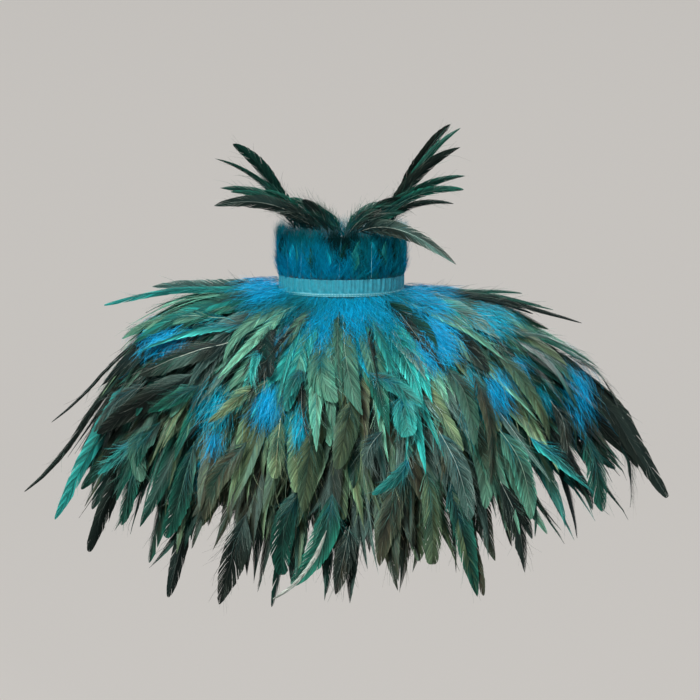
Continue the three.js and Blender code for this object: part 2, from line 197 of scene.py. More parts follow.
def bell(width, *size):
    """Values by chance around 0, most of them closer to it than width."""
    return random.normal(0, width, size)


def kind_numbers(*names):
    """Kinds of feather as their numbers."""
    return np.array([KIND_NAMES.index(name) for name in names])


def columns(rows, names):
    """The columns of a table by their names, with each kind of feather as its number."""
    table = dict(zip(names, zip(*rows)))
    if "kind" in table:
        table["kind"] = kind_numbers(*table["kind"])
    return {name: np.array(values) for name, values in table.items()}


KIND_COLOURS = linear(list(KINDS.values()))


# The skin

def cape_size(name, along):
    """A size of the cape at that distance down from the neck seam, on a smooth curve through its sections."""
    rows = np.array(CAPE_SECTIONS[name], float)
    last = len(rows) - 1
    place = np.clip(np.asarray(along, float) / SECTION_STEP, 0, last)
    here = np.minimum(place.astype(int), last - 1)
    t = place - here
    before, start = rows[np.maximum(here - 1, 0)], rows[here]
    end, after = rows[here + 1], rows[np.minimum(here + 2, last)]
    slope_in, slope_out = (end - before) / 2, (after - start) / 2
    cubic = (2 * start - 2 * end + slope_in + slope_out) * t**3
    square = (-3 * start + 3 * end - 2 * slope_in - slope_out) * t**2
    return cubic + square + slope_in * t + start


def cape_face(angle, along):
    across, ahead = np.sin(angle), np.cos(angle)
    drop = cape_size("side_drop", along) * across**2 + cape_size("front_drop", along) * ahead**2
    dip = NECK_DIP * ahead * np.maximum(0, 1 - along / NECK_DIP_FADE)
    x = cape_size("side_out", along) * across
    y = -cape_size("front_out", along) * ahead
    return np.stack([x, y, -drop - dip], -1)


def cape_around(angle, along):
    """A short way round the cape."""
    return cape_face(angle + SMALL_TURN, along) - cape_face(angle - SMALL_TURN, along)


def cape_normal(angle, along):
    above = np.maximum(0, along - SMALL_STEP)
    down = cape_face(angle, along + SMALL_STEP) - cape_face(angle, above)
    return unit(np.cross(down, cape_around(angle, along)))


def cape_point(angle, along, lift):
    return cape_face(angle, along) + cape_normal(angle, along) * np.asarray(lift, float)[..., None]


def cape_span(angle, along):
    """Length on the cape for one radian round it."""
    side, front = cape_size("side_out", along), cape_size("front_out", along)
    return np.hypot(side * np.cos(angle), front * np.sin(angle))


def collar_normal(angle):
    out = [NECK_HALF_DEPTH * np.sin(angle), -NECK_HALF_WIDTH * np.cos(angle), np.zeros_like(angle)]
    return unit(np.stack(out, -1))


def collar_point(angle, height, lift):
    angle, height, lift = np.broadcast_arrays(np.asarray(angle, float), height, lift)
    x = NECK_HALF_WIDTH * np.sin(angle)
    y = -NECK_HALF_DEPTH * np.cos(angle)
    z = height - NECK_DIP * np.cos(angle)
    return np.stack([x, y, z], -1) + collar_normal(angle) * (CLOTH_THICKNESS + lift)[..., None]


def ring_grid(steps, rows):
    """Angles from one edge of the slit round to the other, and rows, as a grid."""
    return np.meshgrid(np.linspace(-SLIT, SLIT, steps), rows, indexing="ij")


def right_side(angle):
    """1 at the photo's right, less towards the shown side, and 0 on the left."""
    return np.maximum(0, np.sin(angle)) ** 2


def tier_edge(tier):
    return FIRST_TIER + (tier - 1) * TIER_STEP


def home_tier(along):
    """Number of the tier that a place down the cape belongs to."""
    return np.clip((along - FIRST_TIER) // TIER_STEP + 1, 1, len(TIERS))


def tier_bend(angle, tier):
    """How far the ends of a tier stand off, which is more over the photo's right shoulder."""
    return TIER_BEND + TIERS[tier - 1]["right_bend"] * right_side(angle)


def hang(angle, along):
    """Share of the tiers' slope that is kept: the left side and the right shoulder hang closer."""
    shoulder = right_side(angle) * (1 - smooth(*SHOULDER_FADE, along))
    return 1 - LEFT_HANG * right_side(-angle) - SHOULDER_HANG * shoulder


def outer_lift(angle, along):
    """Height of the feathers' outer layer over the skin."""
    run = np.clip(along - FIRST_TIER, 0, OUTER_RUN)
    bend = TIER_BEND + right_side(angle) * np.interp(along, OUTER_BEND_ALONG, (0, OUTER_BEND))
    return LOCK_SEAT + TIER_SLOPE * hang(angle, along) * run + bend * (run / OUTER_RUN) ** 3 + OUTER_COVER


# From the photograph to the skin

SKIN_ANGLES_DEGREES = np.arange(-100, 101, 1.0)
SKIN_ROWS = np.arange(4, 332, 2.0)


def project(points):
    """Pixel of each point in the photograph's view."""
    seen = points - VIEW_PLACE
    scale = VIEW_DISTANCE / PIXEL_MM / -(seen @ VIEW_BACK)
    return np.stack([IMAGE_SIDE / 2 + seen[..., 0] * scale, IMAGE_SIDE / 2 - (seen @ VIEW_UP) * scale], -1)


def skin_tree():
    """Places on the outer layer of the shown side, sorted by the pixel where each is seen."""
    places = np.meshgrid(SKIN_ANGLES_DEGREES * DEGREE, SKIN_ROWS, indexing="ij")
    angle, along = (values.ravel() for values in places)
    seen = project(cape_point(angle, along, outer_lift(angle, along)))
    tree = KDTree(len(seen))
    for i, (x, y) in enumerate(seen):
        tree.insert((x, y, 0), i)
    tree.balance()
    return tree, angle, along


SKIN_TREE, SKIN_ANGLES, SKIN_ALONGS = skin_tree()


def on_skin(pixels):
    """Angle and distance down the cape where the view through each pixel meets the outer layer."""
    nearest = [SKIN_TREE.find((x, y, 0))[1] for x, y in pixels]
    return SKIN_ANGLES[nearest], SKIN_ALONGS[nearest]


# Shapes: strips of four-sided faces, with the colour and two maps of each corner

def corner_map(pair, size):
    """Two values for each corner of an array of that size."""
    return np.stack([np.broadcast_to(values, size) for values in pair], -1).reshape(-1, 2)


def shape(corners, tint, grain, cell_map):
    """Strips of corners. The first axis is the feather or hair, each with its own cell in the bake's map, the
    last two before the coordinates are one strip, and cell_map is the place in the cell."""
    count, size = len(corners), corners.shape[:-1]
    flat = corners.reshape(-1, 3)
    long, wide = size[-2:]
    return {
        "corners": flat,
        "faces": grid_faces(len(flat) // (long * wide), long, wide),
        "tint": np.clip(np.broadcast_to(tint, corners.shape).reshape(-1, 3), 0, 1),
        "grain": corner_map(grain, size),
        "cell": np.repeat(np.arange(count), len(flat) // count),
        "cell_map": corner_map(cell_map, size),
        "cells": count,
    }


def joined(shapes):
    """Shapes as one shape, which keeps the cells of the first."""
    starts = np.cumsum([0] + [len(one["corners"]) for one in shapes[:-1]])
    fields = ("corners", "tint", "grain", "cell", "cell_map")
    whole = {name: np.concatenate([one[name] for one in shapes]) for name in fields}
    whole["faces"] = np.concatenate([one["faces"] + start for one, start in zip(shapes, starts)])
    whole["cells"] = shapes[0]["cells"]
    return whole


def grid_faces(count, long, wide):
    """Faces of count strips, each a grid of long by wide corners."""
    i, j = np.meshgrid(np.arange(long - 1), np.arange(wide - 1), indexing="ij")
    first = (i * wide + j).reshape(-1)
    faces = np.stack([first, first + 1, first + wide + 1, first + wide], -1)
    return (np.arange(count)[:, None, None] * (long * wide) + faces).reshape(-1, 4)


# One feather: stations along its quill, barbs on each side, and places along a barb or a hair
STATIONS = 15
SHARES = np.linspace(0, 1, STATIONS)
BOWED = 4 * SHARES * (1 - SHARES)
BARBS = 36
CLUMP = 3
PLACES = np.array([0.0, 0.5, 1.0])
EDGES = np.array([-1.0, 1.0])
VANE_START = 0.02
VANE_END = 0.985
BARB_LEAN = 2.1
BARB_SLANT = (0.1, 0.4)
LOPSIDED = 0.16
SPLITS = 3
SPLIT_AT = (0.25, 0.85)
SPLIT_LENGTH = 0.08
SPLIT_RISE = 12
DOWN_RISE = 2.0
STREAK_RANGE = (0.4, 2.2)
QUILL_HALF = 0.32
QUILL_LIFT = 0.3

# Hairs of down and loose barbs
HAIR_RISE = (0.15, 0.5)
HAIR_SETTLE = (0.1, 0.5)
HAIR_SWAY = 0.16
HAIR_TURN = 0.9
ROOT_HAIR_WIDTH = (0.22, 0.5)
ROOT_HAIR_PLACE = (0.03, 1)
ROOT_HAIR_PAST_FLUFF = 0.12
ROOT_HAIR_SPLAY = (0.15, 0.8)
ROOT_HAIR_REACH = (0.6, 1.4)
ROOT_HAIR_EXTRA = 5
ROOT_HAIR_SHADE = (0.7, 1.25)
LOOSE_BARB_PLACE = (0.12, 0.86)
LOOSE_BARB_ACROSS = (0.05, 0.85)
LOOSE_BARB_SPLAY = (0.05, 0.45)
LOOSE_BARB_SHADE = (0.7, 1.2)
LOOSE_BARB_WIDTH = (0.16, 0.4)
LOOSE_BARB_LENGTH = (9, 24)
LOOSE_BARB_LIFT = (0.2, 0.9)
DOWN_WIDTH = (0.2, 0.45)
DOWN_STEP = 2.0
# painted shade: the down on the cape is darker at its roots
DOWN_ROOT_PAINTED_SHADE = 0.8


def along_quill(field, share):
    """A field known at a feather's stations, read at any share of the feather's length."""
    place = np.clip(share, 0, 1) * (STATIONS - 1)
    here = np.minimum(place.astype(int), STATIONS - 2)
    part = (place - here)[..., None]
    rows = np.arange(len(field)).reshape((-1,) + (1,) * (share.ndim - 1))
    return field[rows, here] * (1 - part) + field[rows, here + 1] * part


def quill_frames(points, normals, look):
    """Sideways and outward directions at each station of the quills, rolled and twisted about the quill."""
    tangent = unit(np.gradient(points, axis=1))
    side = unit(np.cross(tangent, normals))
    out = np.cross(side, tangent)
    roll = (look["roll"][:, None] + look["twist"][:, None] * SHARES)[..., None]
    side = side * np.cos(roll) + out * np.sin(roll)
    return side, np.cross(side, tangent)


def feathers(points, normals, look):
    """Feathers along quills, each a vane of barbs on both sides and the quill itself."""
    side, out = quill_frames(points, normals, look)
    return joined([vanes(points, side, out, look), quills(points, side, out, look)])


def vanes(points, side, out, look):
    """Barbs of the feathers. The axes of an array are the feather, its side, the barb, the place along the
    barb and the barb's edge."""
    count = len(points)
    by_feather, by_side, by_barb = (count, 1, 1, 1, 1), (count, 2, 1, 1, 1), (count, 2, BARBS, 1, 1)
    trait = {name: values.reshape(by_feather) for name, values in look.items()}
    pitch = (VANE_END - VANE_START) / BARBS
    middle = (VANE_START + pitch * (np.arange(BARBS) + 0.5)).reshape(-1, 1, 1)
    edge = EDGES / 2
    sign = EDGES.reshape(-1, 1, 1, 1)
    far = PLACES[:, None]

    # where a barb leaves the quill, how far it sweeps towards the tip, and how far out it ends
    length = path_length(points, 1).reshape(by_feather)
    slant = np.clip(BARB_LEAN * trait["width"] / 2 / length, *BARB_SLANT)
    leaves = middle + pitch * edge
    sweep = (1 - leaves) * (1 - np.exp(-slant / (1 - leaves)))
    ends = leaves + sweep
    widest = trait["root"] / (trait["root"] + trait["tip"])
    outline = (ends / widest) ** trait["root"] * ((1 - ends) / (1 - widest)) ** trait["tip"]
    wave = spread(0, 2 * math.pi, *by_side)
    wavy = 1 + 0.05 * np.sin(leaves * 7 + wave) + 0.03 * np.sin(leaves * 17 + 2 * wave)
    uneven = 1 + spread(-LOPSIDED, LOPSIDED, *by_feather) * sign
    half = trait["width"] / 2 * outline * wavy * uneven

    # a vane parts here and there, and its down near the root is loose
    parted = 0
    for _ in range(SPLITS):
        split = spread(*SPLIT_AT, *by_side)
        gap = trait["split"] * random.random(by_side) ** 3
        parted = parted + np.sign(middle - split) * gap * np.exp(-np.abs(leaves - split) / SPLIT_LENGTH)
    fluff = 1 - smooth(trait["fluff"] - 0.14, trait["fluff"] + 0.06, ends)
    loose = bell(1, *by_barb)
    ragged = bell(1, *by_barb)

    # corners: a share along the quill, a distance across it and a height over it
    pinch = mix(1.15, mix(1.1, 0.2, fluff), far)
    share = middle + pitch * edge * pinch + (sweep + parted + 0.04 * fluff * loose) * far**1.25
    across = half * (1 + 0.04 * ragged + 0.3 * fluff * ragged) * far**0.92
    roof = -trait["cup"] * across**2 / trait["width"]
    ripple = 0.04 * across * np.sin(share * 11 + wave)
    lifted = 0.3 * edge + 0.06 * ragged + DOWN_RISE * fluff * loose + SPLIT_RISE * parted
    corners = along_quill(points, share)
    corners = corners + along_quill(side, share) * (sign * across)[..., None]
    corners = corners + along_quill(out, share) * (roof + ripple + far * lifted)[..., None]

    # colours: from the quill to the edge, then the mottling, the edge with its painted highlight, the tip,
    # the down, a painted shade on the root where the feathers above cover it, and the streaks
    colour = KIND_COLOURS[look["kind"]][:, None, None, None, None]
    other = KIND_COLOURS[look["other"], VANE][:, None, None, None, None]
    mottle = smooth(-0.2, 0.9, np.sin(ends * 7 + wave) + 0.3 * bell(1, *by_barb))
    tint = mix(colour[..., HEART, :], colour[..., VANE, :], smooth(0.0, 0.55, far)[..., None])
    tint = mix(tint, other, 0.75 * mottle[..., None])
    # the edge colour times rim: a painted highlight on the feathers' edges, stronger on some feathers and
    # dimmed on others
    tint = mix(tint, colour[..., EDGE, :] * trait["rim"][..., None], 0.7 * smooth(0.5, 1.0, far)[..., None])
    tint = mix(tint, colour[..., TIP, :], 0.6 * smooth(0.7, 1.0, ends)[..., None])
    tint = mix(tint, colour[..., DOWN, :], fluff[..., None])
    # painted shade: each feather darker towards its root, where the feathers above cover it
    tint = tint * mix(trait["root_painted_shade"], 1.0, smooth(0.1, 0.6, ends))[..., None]
    clump = np.repeat(bell(1, count, 2, BARBS // CLUMP, 1, 1), CLUMP, axis=2)
    streak = np.exp(0.16 * clump + 0.25 * bell(1, *by_barb))
    tint = tint * (np.clip(streak, *STREAK_RANGE) * trait["shade"])[..., None]
    grain = (spread(0, 50, *by_feather) + leaves * length / CM, sign * far)
    return shape(corners, tint, grain, (leaves, 0.56 + 0.43 * sign * far))


def quills(points, side, out, look):
    """The feathers' quills, thin tapered strips just above the vane."""
    half = QUILL_HALF * (1 - 0.85 * SHARES)[:, None, None]
    corners = points[:, :, None] + side[:, :, None] * half * EDGES[:, None] + QUILL_LIFT * out[:, :, None]
    dark, pale = (KIND_COLOURS[look["kind"], part] for part in (HEART, QUILL))
    colour = mix(dark, pale, random.random((len(points), 1)) ** 2) * look["shade"][:, None]
    share = SHARES[:, None]
    return shape(corners, colour[:, None, None], (share, 0.02 * EDGES), (share, 0.05 + 0.04 * EDGES))


def hairs(roots, ways, normals, length, width, root_colour, tip_colour):
    """Fine hairs of down: each leaves its root along its way, bows off the surface and tapers."""
    count = len(roots)
    share = PLACES[:, None]
    rise = spread(*HAIR_RISE, count, 1, 1)
    settle = spread(*HAIR_SETTLE, count, 1, 1)
    sway = bell(HAIR_SWAY, count, 1, 1)
    side = unit(np.cross(ways, normals))
    long = length[:, None, None]
    path = roots[:, None] + ways[:, None] * (long * share)
    path = path + normals[:, None] * (long * (rise * share - settle * share**2))
    path = path + side[:, None] * (long * sway * share**2)
    turn = spread(-HAIR_TURN, HAIR_TURN, count, 1)
    flat = side * np.cos(turn) + normals * np.sin(turn)
    half = width[:, None, None] / 2 * (1 - 0.72 * share)
    corners = path[:, :, None] + flat[:, None, None] * (half[..., None] * EDGES[:, None])
    tint = mix(root_colour[:, None, None], tip_colour[:, None, None], share[..., None])
    return shape(corners, tint, (spread(0, 40, count, 1, 1), share), (0.5 + 0.5 * EDGES, share))


def on_quills(points, normals, look, share):
    """Place, tangent, way to one side by chance, and way out, at shares of each quill, as flat lists."""
    fields = (points, unit(np.gradient(points, axis=1)), *quill_frames(points, normals, look))
    roots, tangent, side, out = (along_quill(field, share).reshape(-1, 3) for field in fields)
    return roots, tangent, side * random.choice(EDGES, (share.size, 1)), out


def root_down(points, normals, look, each):
    """Loose hairs on both sides of every root, so many for each feather."""
    count = len(points) * each
    owner = np.repeat(np.arange(len(points)), each)
    share = spread(*ROOT_HAIR_PLACE, count) * (look["fluff"][owner] + ROOT_HAIR_PAST_FLUFF)
    roots, tangent, side, out = on_quills(points, normals, look, share.reshape(-1, each))
    ways = unit(tangent + side * spread(*ROOT_HAIR_SPLAY, count, 1))
    length = look["width"][owner] * spread(*ROOT_HAIR_REACH, count) + ROOT_HAIR_EXTRA
    # the down at the root takes the feather's painted shade as well
    shade = (look["shade"] * look["root_painted_shade"])[owner] * spread(*ROOT_HAIR_SHADE, count)
    colours = KIND_COLOURS[look["kind"][owner]] * shade[:, None, None]
    tip = mix(colours[:, DOWN], colours[:, EDGE], 0.7)
    return hairs(roots, ways, out, length, spread(*ROOT_HAIR_WIDTH, count), colours[:, DOWN], tip)


def loose_barbs(points, normals, look, each):
    """Single barbs that lie over the vane and stand past its edges, many of them pale."""
    count = len(points) * each
    owner = np.repeat(np.arange(len(points)), each)
    share = spread(*LOOSE_BARB_PLACE, count)
    roots, tangent, side, out = on_quills(points, normals, look, share.reshape(-1, each))
    half = look["width"][owner] / 2
    across = half * spread(*LOOSE_BARB_ACROSS, count) * np.minimum(1, 2.4 * (1 - share))
    roots = roots + side * across[:, None] + out * spread(*LOOSE_BARB_LIFT, count, 1)
    ways = unit(tangent + side * spread(*LOOSE_BARB_SPLAY, count, 1))
    length = spread(*LOOSE_BARB_LENGTH, count)
    shade = look["shade"][owner] * spread(*LOOSE_BARB_SHADE, count)
    colours = KIND_COLOURS[look["kind"][owner]] * shade[:, None, None]
    tip = mix(colours[:, EDGE], colours[:, QUILL], random.random((count, 1)))
    return hairs(roots, ways, out, length, spread(*LOOSE_BARB_WIDTH, count), colours[:, EDGE], tip)


def dressed(points, normals, look, down, barbs):
    """Feathers, each with so many hairs of down at its root and so many loose barbs."""
    return [
        feathers(points, normals, look),
        root_down(points, normals, look, down),
        loose_barbs(points, normals, look, barbs),
    ]


# Pieces

CELL_MARGIN = 0.06
BAND_POWER = 0.7


def atlas(shapes):
    """The bake's map: a band for each shape, cut into a cell for each feather or hair."""
    weights = np.array([len(one["corners"]) ** BAND_POWER for one in shapes])
    heights = weights / weights.sum()
    maps = []
    bottom = 0.0
    for one, height in zip(shapes, heights):
        columns_here = max(1, math.ceil(math.sqrt(one["cells"] / height)))
        rows_here = math.ceil(one["cells"] / columns_here)
        corner = np.stack([one["cell"] % columns_here, one["cell"] // columns_here], -1)
        place = (corner + CELL_MARGIN + (1 - 2 * CELL_MARGIN) * one["cell_map"]) / (columns_here, rows_here)
        maps.append(place * (1.0, height) + (0.0, bottom))
        bottom += height
    return np.concatenate(maps)


def linked(name, data):
    """A new object in the scene."""
    made = bpy.data.objects.new(name, data)
    bpy.context.scene.collection.objects.link(made)
    return made


def placed(name, mesh, material, nodes):
    """The mesh as a piece of the shawl, which may stand for CAD nodes."""
    mesh.polygons.foreach_set("use_smooth", np.ones(len(mesh.polygons), bool))
    mesh.materials.append(material)
    made = linked(name, mesh)
    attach(made, "root")
    if nodes:
        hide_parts(*nodes)
    return made


def add_map(mesh, name, values, order):
    layer = mesh.uv_layers.new(name=name)
    layer.data.foreach_set("uv", values[order].astype(np.float32).ravel())


def piece(name, shapes, material, slot, *nodes):
    """One joined mesh of shapes."""
    whole = joined(shapes)
    mesh = bpy.data.meshes.new(name)
    mesh.vertices.add(len(whole["corners"]))
    mesh.vertices.foreach_set("co", (whole["corners"] * MM).astype(np.float32).ravel())
    order = whole["faces"].astype(np.int32).ravel()
    mesh.loops.add(len(order))
    mesh.loops.foreach_set("vertex_index", order)
    mesh.polygons.add(len(whole["faces"]))
    mesh.polygons.foreach_set("loop_start", np.arange(0, len(order), 4, dtype=np.int32))
    add_map(mesh, "Grain", whole["grain"], order)
    add_map(mesh, "OFBake", atlas(shapes), order)
    tint = mesh.attributes.new("tint", "FLOAT_COLOR", "POINT")
    rgba = np.concatenate([whole["tint"], np.ones((len(whole["tint"]), 1))], 1)
    tint.data.foreach_set("color", rgba.astype(np.float32).ravel())
    mesh.update(calc_edges=True)
    mesh.validate()
    return placed(name, mesh, material, nodes)


# Materials

STREAK_SCALE = (3.4, 0.6, 1.0)
SHEEN_TINT = (0.03, 0.55, 0.62, 1.0)
FEATHER_RELIEF_DEPTH = 0.0004
CLOTH_RELIEF_DEPTH = 0.0003
BRUSH_SCALE = (60.0, 1.0, 2600.0)
STEEL_DARK = (128, 134, 138)
STEEL_PALE = (186, 190, 192)
STEEL_DULL = (0.26, 0.5)
STEEL_RELIEF = 0.15
STEEL_RELIEF_DEPTH = 0.0002


def new_material(name):
    material = bpy.data.materials.new(name)
    material.use_nodes = True
    return material, material.node_tree, material.node_tree.nodes["Principled BSDF"]


def feed(tree, made, inputs):
    """Gives each input of a shader node its constant, or the socket that it is linked from."""
    for name, value in inputs.items():
        if isinstance(value, bpy.types.NodeSocket):
            tree.links.new(value, made.inputs[name])
        else:
            made.inputs[name].default_value = value


def node(tree, kind, output, inputs, **fields):
    """One output of a new shader node."""
    made = tree.nodes.new("ShaderNode" + kind)
    for name, value in fields.items():
        setattr(made, name, value)
    feed(tree, made, inputs)
    return made.outputs[output]


def ramp(tree, share, first, second):
    """Colours between two stops, each a place and a colour."""
    made = tree.nodes.new("ShaderNodeValToRGB")
    for element, (place, colour) in zip(made.color_ramp.elements, (first, second)):
        element.position = place
        element.color = (*colour, 1.0)
    feed(tree, made, {"Fac": share})
    return made.outputs["Color"]


def finish_surface(tree, shader, pattern, low_dull, high_dull, relief, depth):
    """Lets a pattern set the roughness between two values and give the relief."""
    dull = node(tree, "MapRange", "Result", {"Value": pattern, "To Min": low_dull, "To Max": high_dull})
    bump = node(tree, "Bump", "Normal", {"Height": pattern, "Strength": relief, "Distance": depth})
    feed(tree, shader, {"Roughness": dull, "Normal": bump})


def feather_material(name, roughness, gloss, sheen, gloss_tint, relief):
    """Tinted barbs with fine streaks along them, which also give the relief."""
    material, tree, shader = new_material(name)
    tint = node(tree, "Attribute", "Color", {}, attribute_name="tint")
    grain = node(tree, "UVMap", "UV", {}, uv_map="Grain")
    place = node(tree, "Mapping", "Vector", {"Vector": grain, "Scale": STREAK_SCALE})
    streaks = node(tree, "TexNoise", "Fac", {"Vector": place, "Scale": 1.0, "Detail": 4.0, "Roughness": 0.65})
    contrast = {"Value": streaks, "From Min": 0.3, "From Max": 0.7, "To Min": 0.35, "To Max": 1.6}
    strength = node(tree, "MapRange", "Result", contrast)
    feed(tree, shader, {
        "Base Color": node(tree, "VectorMath", "Vector", {0: tint, "Scale": strength}, operation="SCALE"),
        "Specular IOR Level": gloss,
        "Specular Tint": (*gloss_tint, 1.0),
        "Sheen Weight": sheen,
        "Sheen Roughness": 0.45,
        "Sheen Tint": SHEEN_TINT,
    })
    finish_surface(tree, shader, streaks, roughness - 0.08, roughness + 0.12, relief, FEATHER_RELIEF_DEPTH)
    return material


def cloth_material(name, colour, threads, roughness, sheen, relief):
    """Woven cloth: two crossed sets of threads over the Grain map, in centimetres, with uneven dye."""
    material, tree, shader = new_material(name)
    grain = node(tree, "UVMap", "UV", {}, uv_map="Grain")
    thread = {"Vector": grain, "Scale": threads, "Distortion": 0.6, "Detail": 1.0}
    warp, weft = (node(tree, "TexWave", "Fac", thread, bands_direction=way) for way in ("X", "Y"))
    weave = node(tree, "Math", "Value", {0: warp, 1: weft}, operation="MULTIPLY")
    dye = node(tree, "TexNoise", "Fac", {"Vector": grain, "Scale": 2.5, "Detail": 4.0})
    depth = node(tree, "Math", "Value", {0: weave, 1: 0.55, 2: dye}, operation="MULTIPLY_ADD")
    dark, pale = linear(colour) * 0.62, np.clip(linear(colour) * 1.3, 0, 1)
    feed(tree, shader, {"Base Color": ramp(tree, depth, (0.3, dark), (1.0, pale)), "Sheen Weight": sheen})
    finish_surface(tree, shader, weave, roughness + 0.1, roughness - 0.08, relief, CLOTH_RELIEF_DEPTH)
    return material


def metal_material(name):
    """Brushed steel with fine lines along the plate."""
    material, tree, shader = new_material(name)
    place = node(tree, "TexCoord", "Object", {})
    stretched = node(tree, "Mapping", "Vector", {"Vector": place, "Scale": BRUSH_SCALE})
    lines = node(tree, "TexNoise", "Fac", {"Vector": stretched, "Scale": 1.0, "Detail": 4.0})
    steel = ramp(tree, lines, (0.0, linear(STEEL_DARK)), (1.0, linear(STEEL_PALE)))
    feed(tree, shader, {"Base Color": steel, "Metallic": 1.0})
    finish_surface(tree, shader, lines, *STEEL_DULL, STEEL_RELIEF, STEEL_RELIEF_DEPTH)
    return material


# Roughness, gloss, sheen, tint of the gloss, and strength of the relief
FEATHER_LOOKS = {
    "upper_feathers": (0.44, 0.12, 0.05, (0.3, 0.9, 0.95), 0.6),
    "middle_feathers": (0.38, 0.25, 0.03, (0.5, 0.9, 0.8), 0.6),
    "lower_feathers": (0.36, 0.25, 0.03, (0.5, 0.9, 0.8), 0.6),
    "plumes": (0.34, 0.35, 0.03, (0.4, 0.9, 0.8), 0.6),
    "collar_fluff": (0.65, 0.05, 0.15, (0.3, 0.9, 1.0), 0.2),
    "thread": (0.5, 0.3, 0.05, (0.8, 1.0, 1.0), 0.4),
}
# Colour, threads, roughness, sheen, and strength of the relief
CLOTH_LOOKS = {
    "ribbon": ((22, 138, 158), 26.0, 0.36, 0.1, 0.35),
    "backing_cloth": ((14, 62, 70), 14.0, 0.8, 0.3, 0.6),
}
MATERIALS = {name: feather_material(name, *look) for name, look in FEATHER_LOOKS.items()}
MATERIALS.update({name: cloth_material(name, *look) for name, look in CLOTH_LOOKS.items()})
MATERIALS["clasp_metal"] = metal_material("clasp_metal")


# Colours by place: patches of one kind of feather on the shown side, as x, y and radius in the photo's pixels

PATCH_HOLD = 0.75
PATCH_REACH = 1.2
PATCHES = {
    "azure": ((592, 390, 16),),
    "teal": ((292, 368, 20), (404, 420, 16), (560, 482, 22), (400, 380, 20)),
    "grey_green": (
        (150, 312, 34), (250, 332, 26), (330, 378, 24), (470, 430, 22), (500, 460, 24), (500, 336, 18),
    ),
    "slate": (
        (212, 366, 26), (346, 516, 26), (384, 440, 20), (432, 440, 24), (460, 490, 28), (440, 388, 20),
    ),
    "olive": (
        (108, 376, 20), (186, 428, 28), (300, 430, 28), (256, 448, 24),
        (292, 500, 24), (342, 450, 28), (430, 520, 24), (520, 400, 24),
    ),
    "bronze": ((226, 478, 28), (390, 520, 24), (360, 400, 20)),
    "dark_green": (
        (118, 338, 26), (205, 318, 26), (96, 440, 26), (162, 396, 22), (190, 500, 26), (146, 478, 28),
        (300, 552, 24), (480, 545, 28), (546, 378, 24), (602, 452, 28), (540, 336, 24),
    ),
    "black": (
        (172, 356, 34), (128, 398, 30), (270, 350, 12), (240, 556, 30),
        (350, 566, 24), (560, 430, 24), (624, 484, 24),
    ),
}


def drawn_kinds(count, tier):
    """Kinds of feather by the tier's shares."""
    chances = np.array([KIND_SHARES[tier - 1].get(name, 0) for name in KIND_NAMES], float)
    return random.choice(len(KIND_NAMES), count, p=chances / chances.sum())


def kinds_at(points, tier):
    """A kind of feather for each place: its patch's kind mostly, or else one by the tier's shares.
    The hidden side takes the patches of the place opposite."""
    kinds = drawn_kinds(len(points), tier)
    shown = np.where(points[:, 1:2] > 0, points * (-1, -1, 1), points)
    patches = np.array([place for places in PATCHES.values() for place in places])
    patch_kinds = kind_numbers(*(kind for kind, places in PATCHES.items() for _ in places))
    away = np.linalg.norm(project(shown)[:, None] - patches[:, :2], axis=-1) / patches[:, 2]
    held = (away.min(1) < PATCH_REACH) & (random.random(len(points)) < PATCH_HOLD)
    return np.where(held, patch_kinds[away.argmin(1)], kinds)


# Feathers on the cape

ROUND_STEPS = 721
ROOT_SCATTER = (-6, 16)
CLUMP_WAVES = ((9, 11, 2.1), (7, 23, 4.7))
LEAN = 11
BOW = 6
FLARE = 3.5
FLARE_POWER = 3
LATE_FLARE_POWER = 6
RAISED = (-1, 7)
RAISED_BY = 0.3
LEAST_LIFT = 1.0
SLIM_SHARE = 0.3
SLIM_WIDTH = (7, 12)
BROAD_WIDTH = (16, 28)
KIND_STATION = 9
TIER_DOWN, TIER_BARBS = 30, 40


def cape_quills(rows):
    """Stations of quills that leave a tier's tape and lie down the cape."""
    column = {name: np.reshape(values, (-1, 1)) for name, values in rows.items()}
    run = column["reach"] * SHARES
    angle = column["angle"] + column["lean"] * SHARES + column["bow"] * BOWED
    along = column["edge"] + run
    lift = LOCK_SEAT + TIER_SLOPE * hang(angle, along) * run
    lift = lift + column["bend"] * np.minimum(1, run / column["usual"]) ** 3
    lift = lift + column["flare"] * SHARES ** column["late"]
    lift = lift + column["raised"] * smooth(0, RAISED_BY, SHARES)
    return cape_point(angle, along, np.maximum(lift, LEAST_LIFT)), cape_normal(angle, along)


def plain_look(kinds, width):
    """Traits of feathers: root and tip shape the outline, and the rest bends, parts and shades it; rim scales
    the edge colour, a painted highlight on the edges, and the darkening at the root is a painted shade.
    """
    count = len(kinds)
    return {
        "kind": kinds,
        "other": kinds,
        "width": width,
        "root": spread(0.25, 0.6, count),
        "tip": spread(0.5, 1.3, count),
        "fluff": spread(0.14, 0.36, count),
        "roll": spread(-0.4, 0.4, count),
        "twist": spread(-0.5, 0.5, count),
        "cup": spread(0.1, 0.5, count),
        "split": np.full(count, 0.02),
        "shade": spread(0.45, 1.5, count),
        "rim": spread(0.5, 1.8, count),
        "root_painted_shade": np.ones(count),
    }


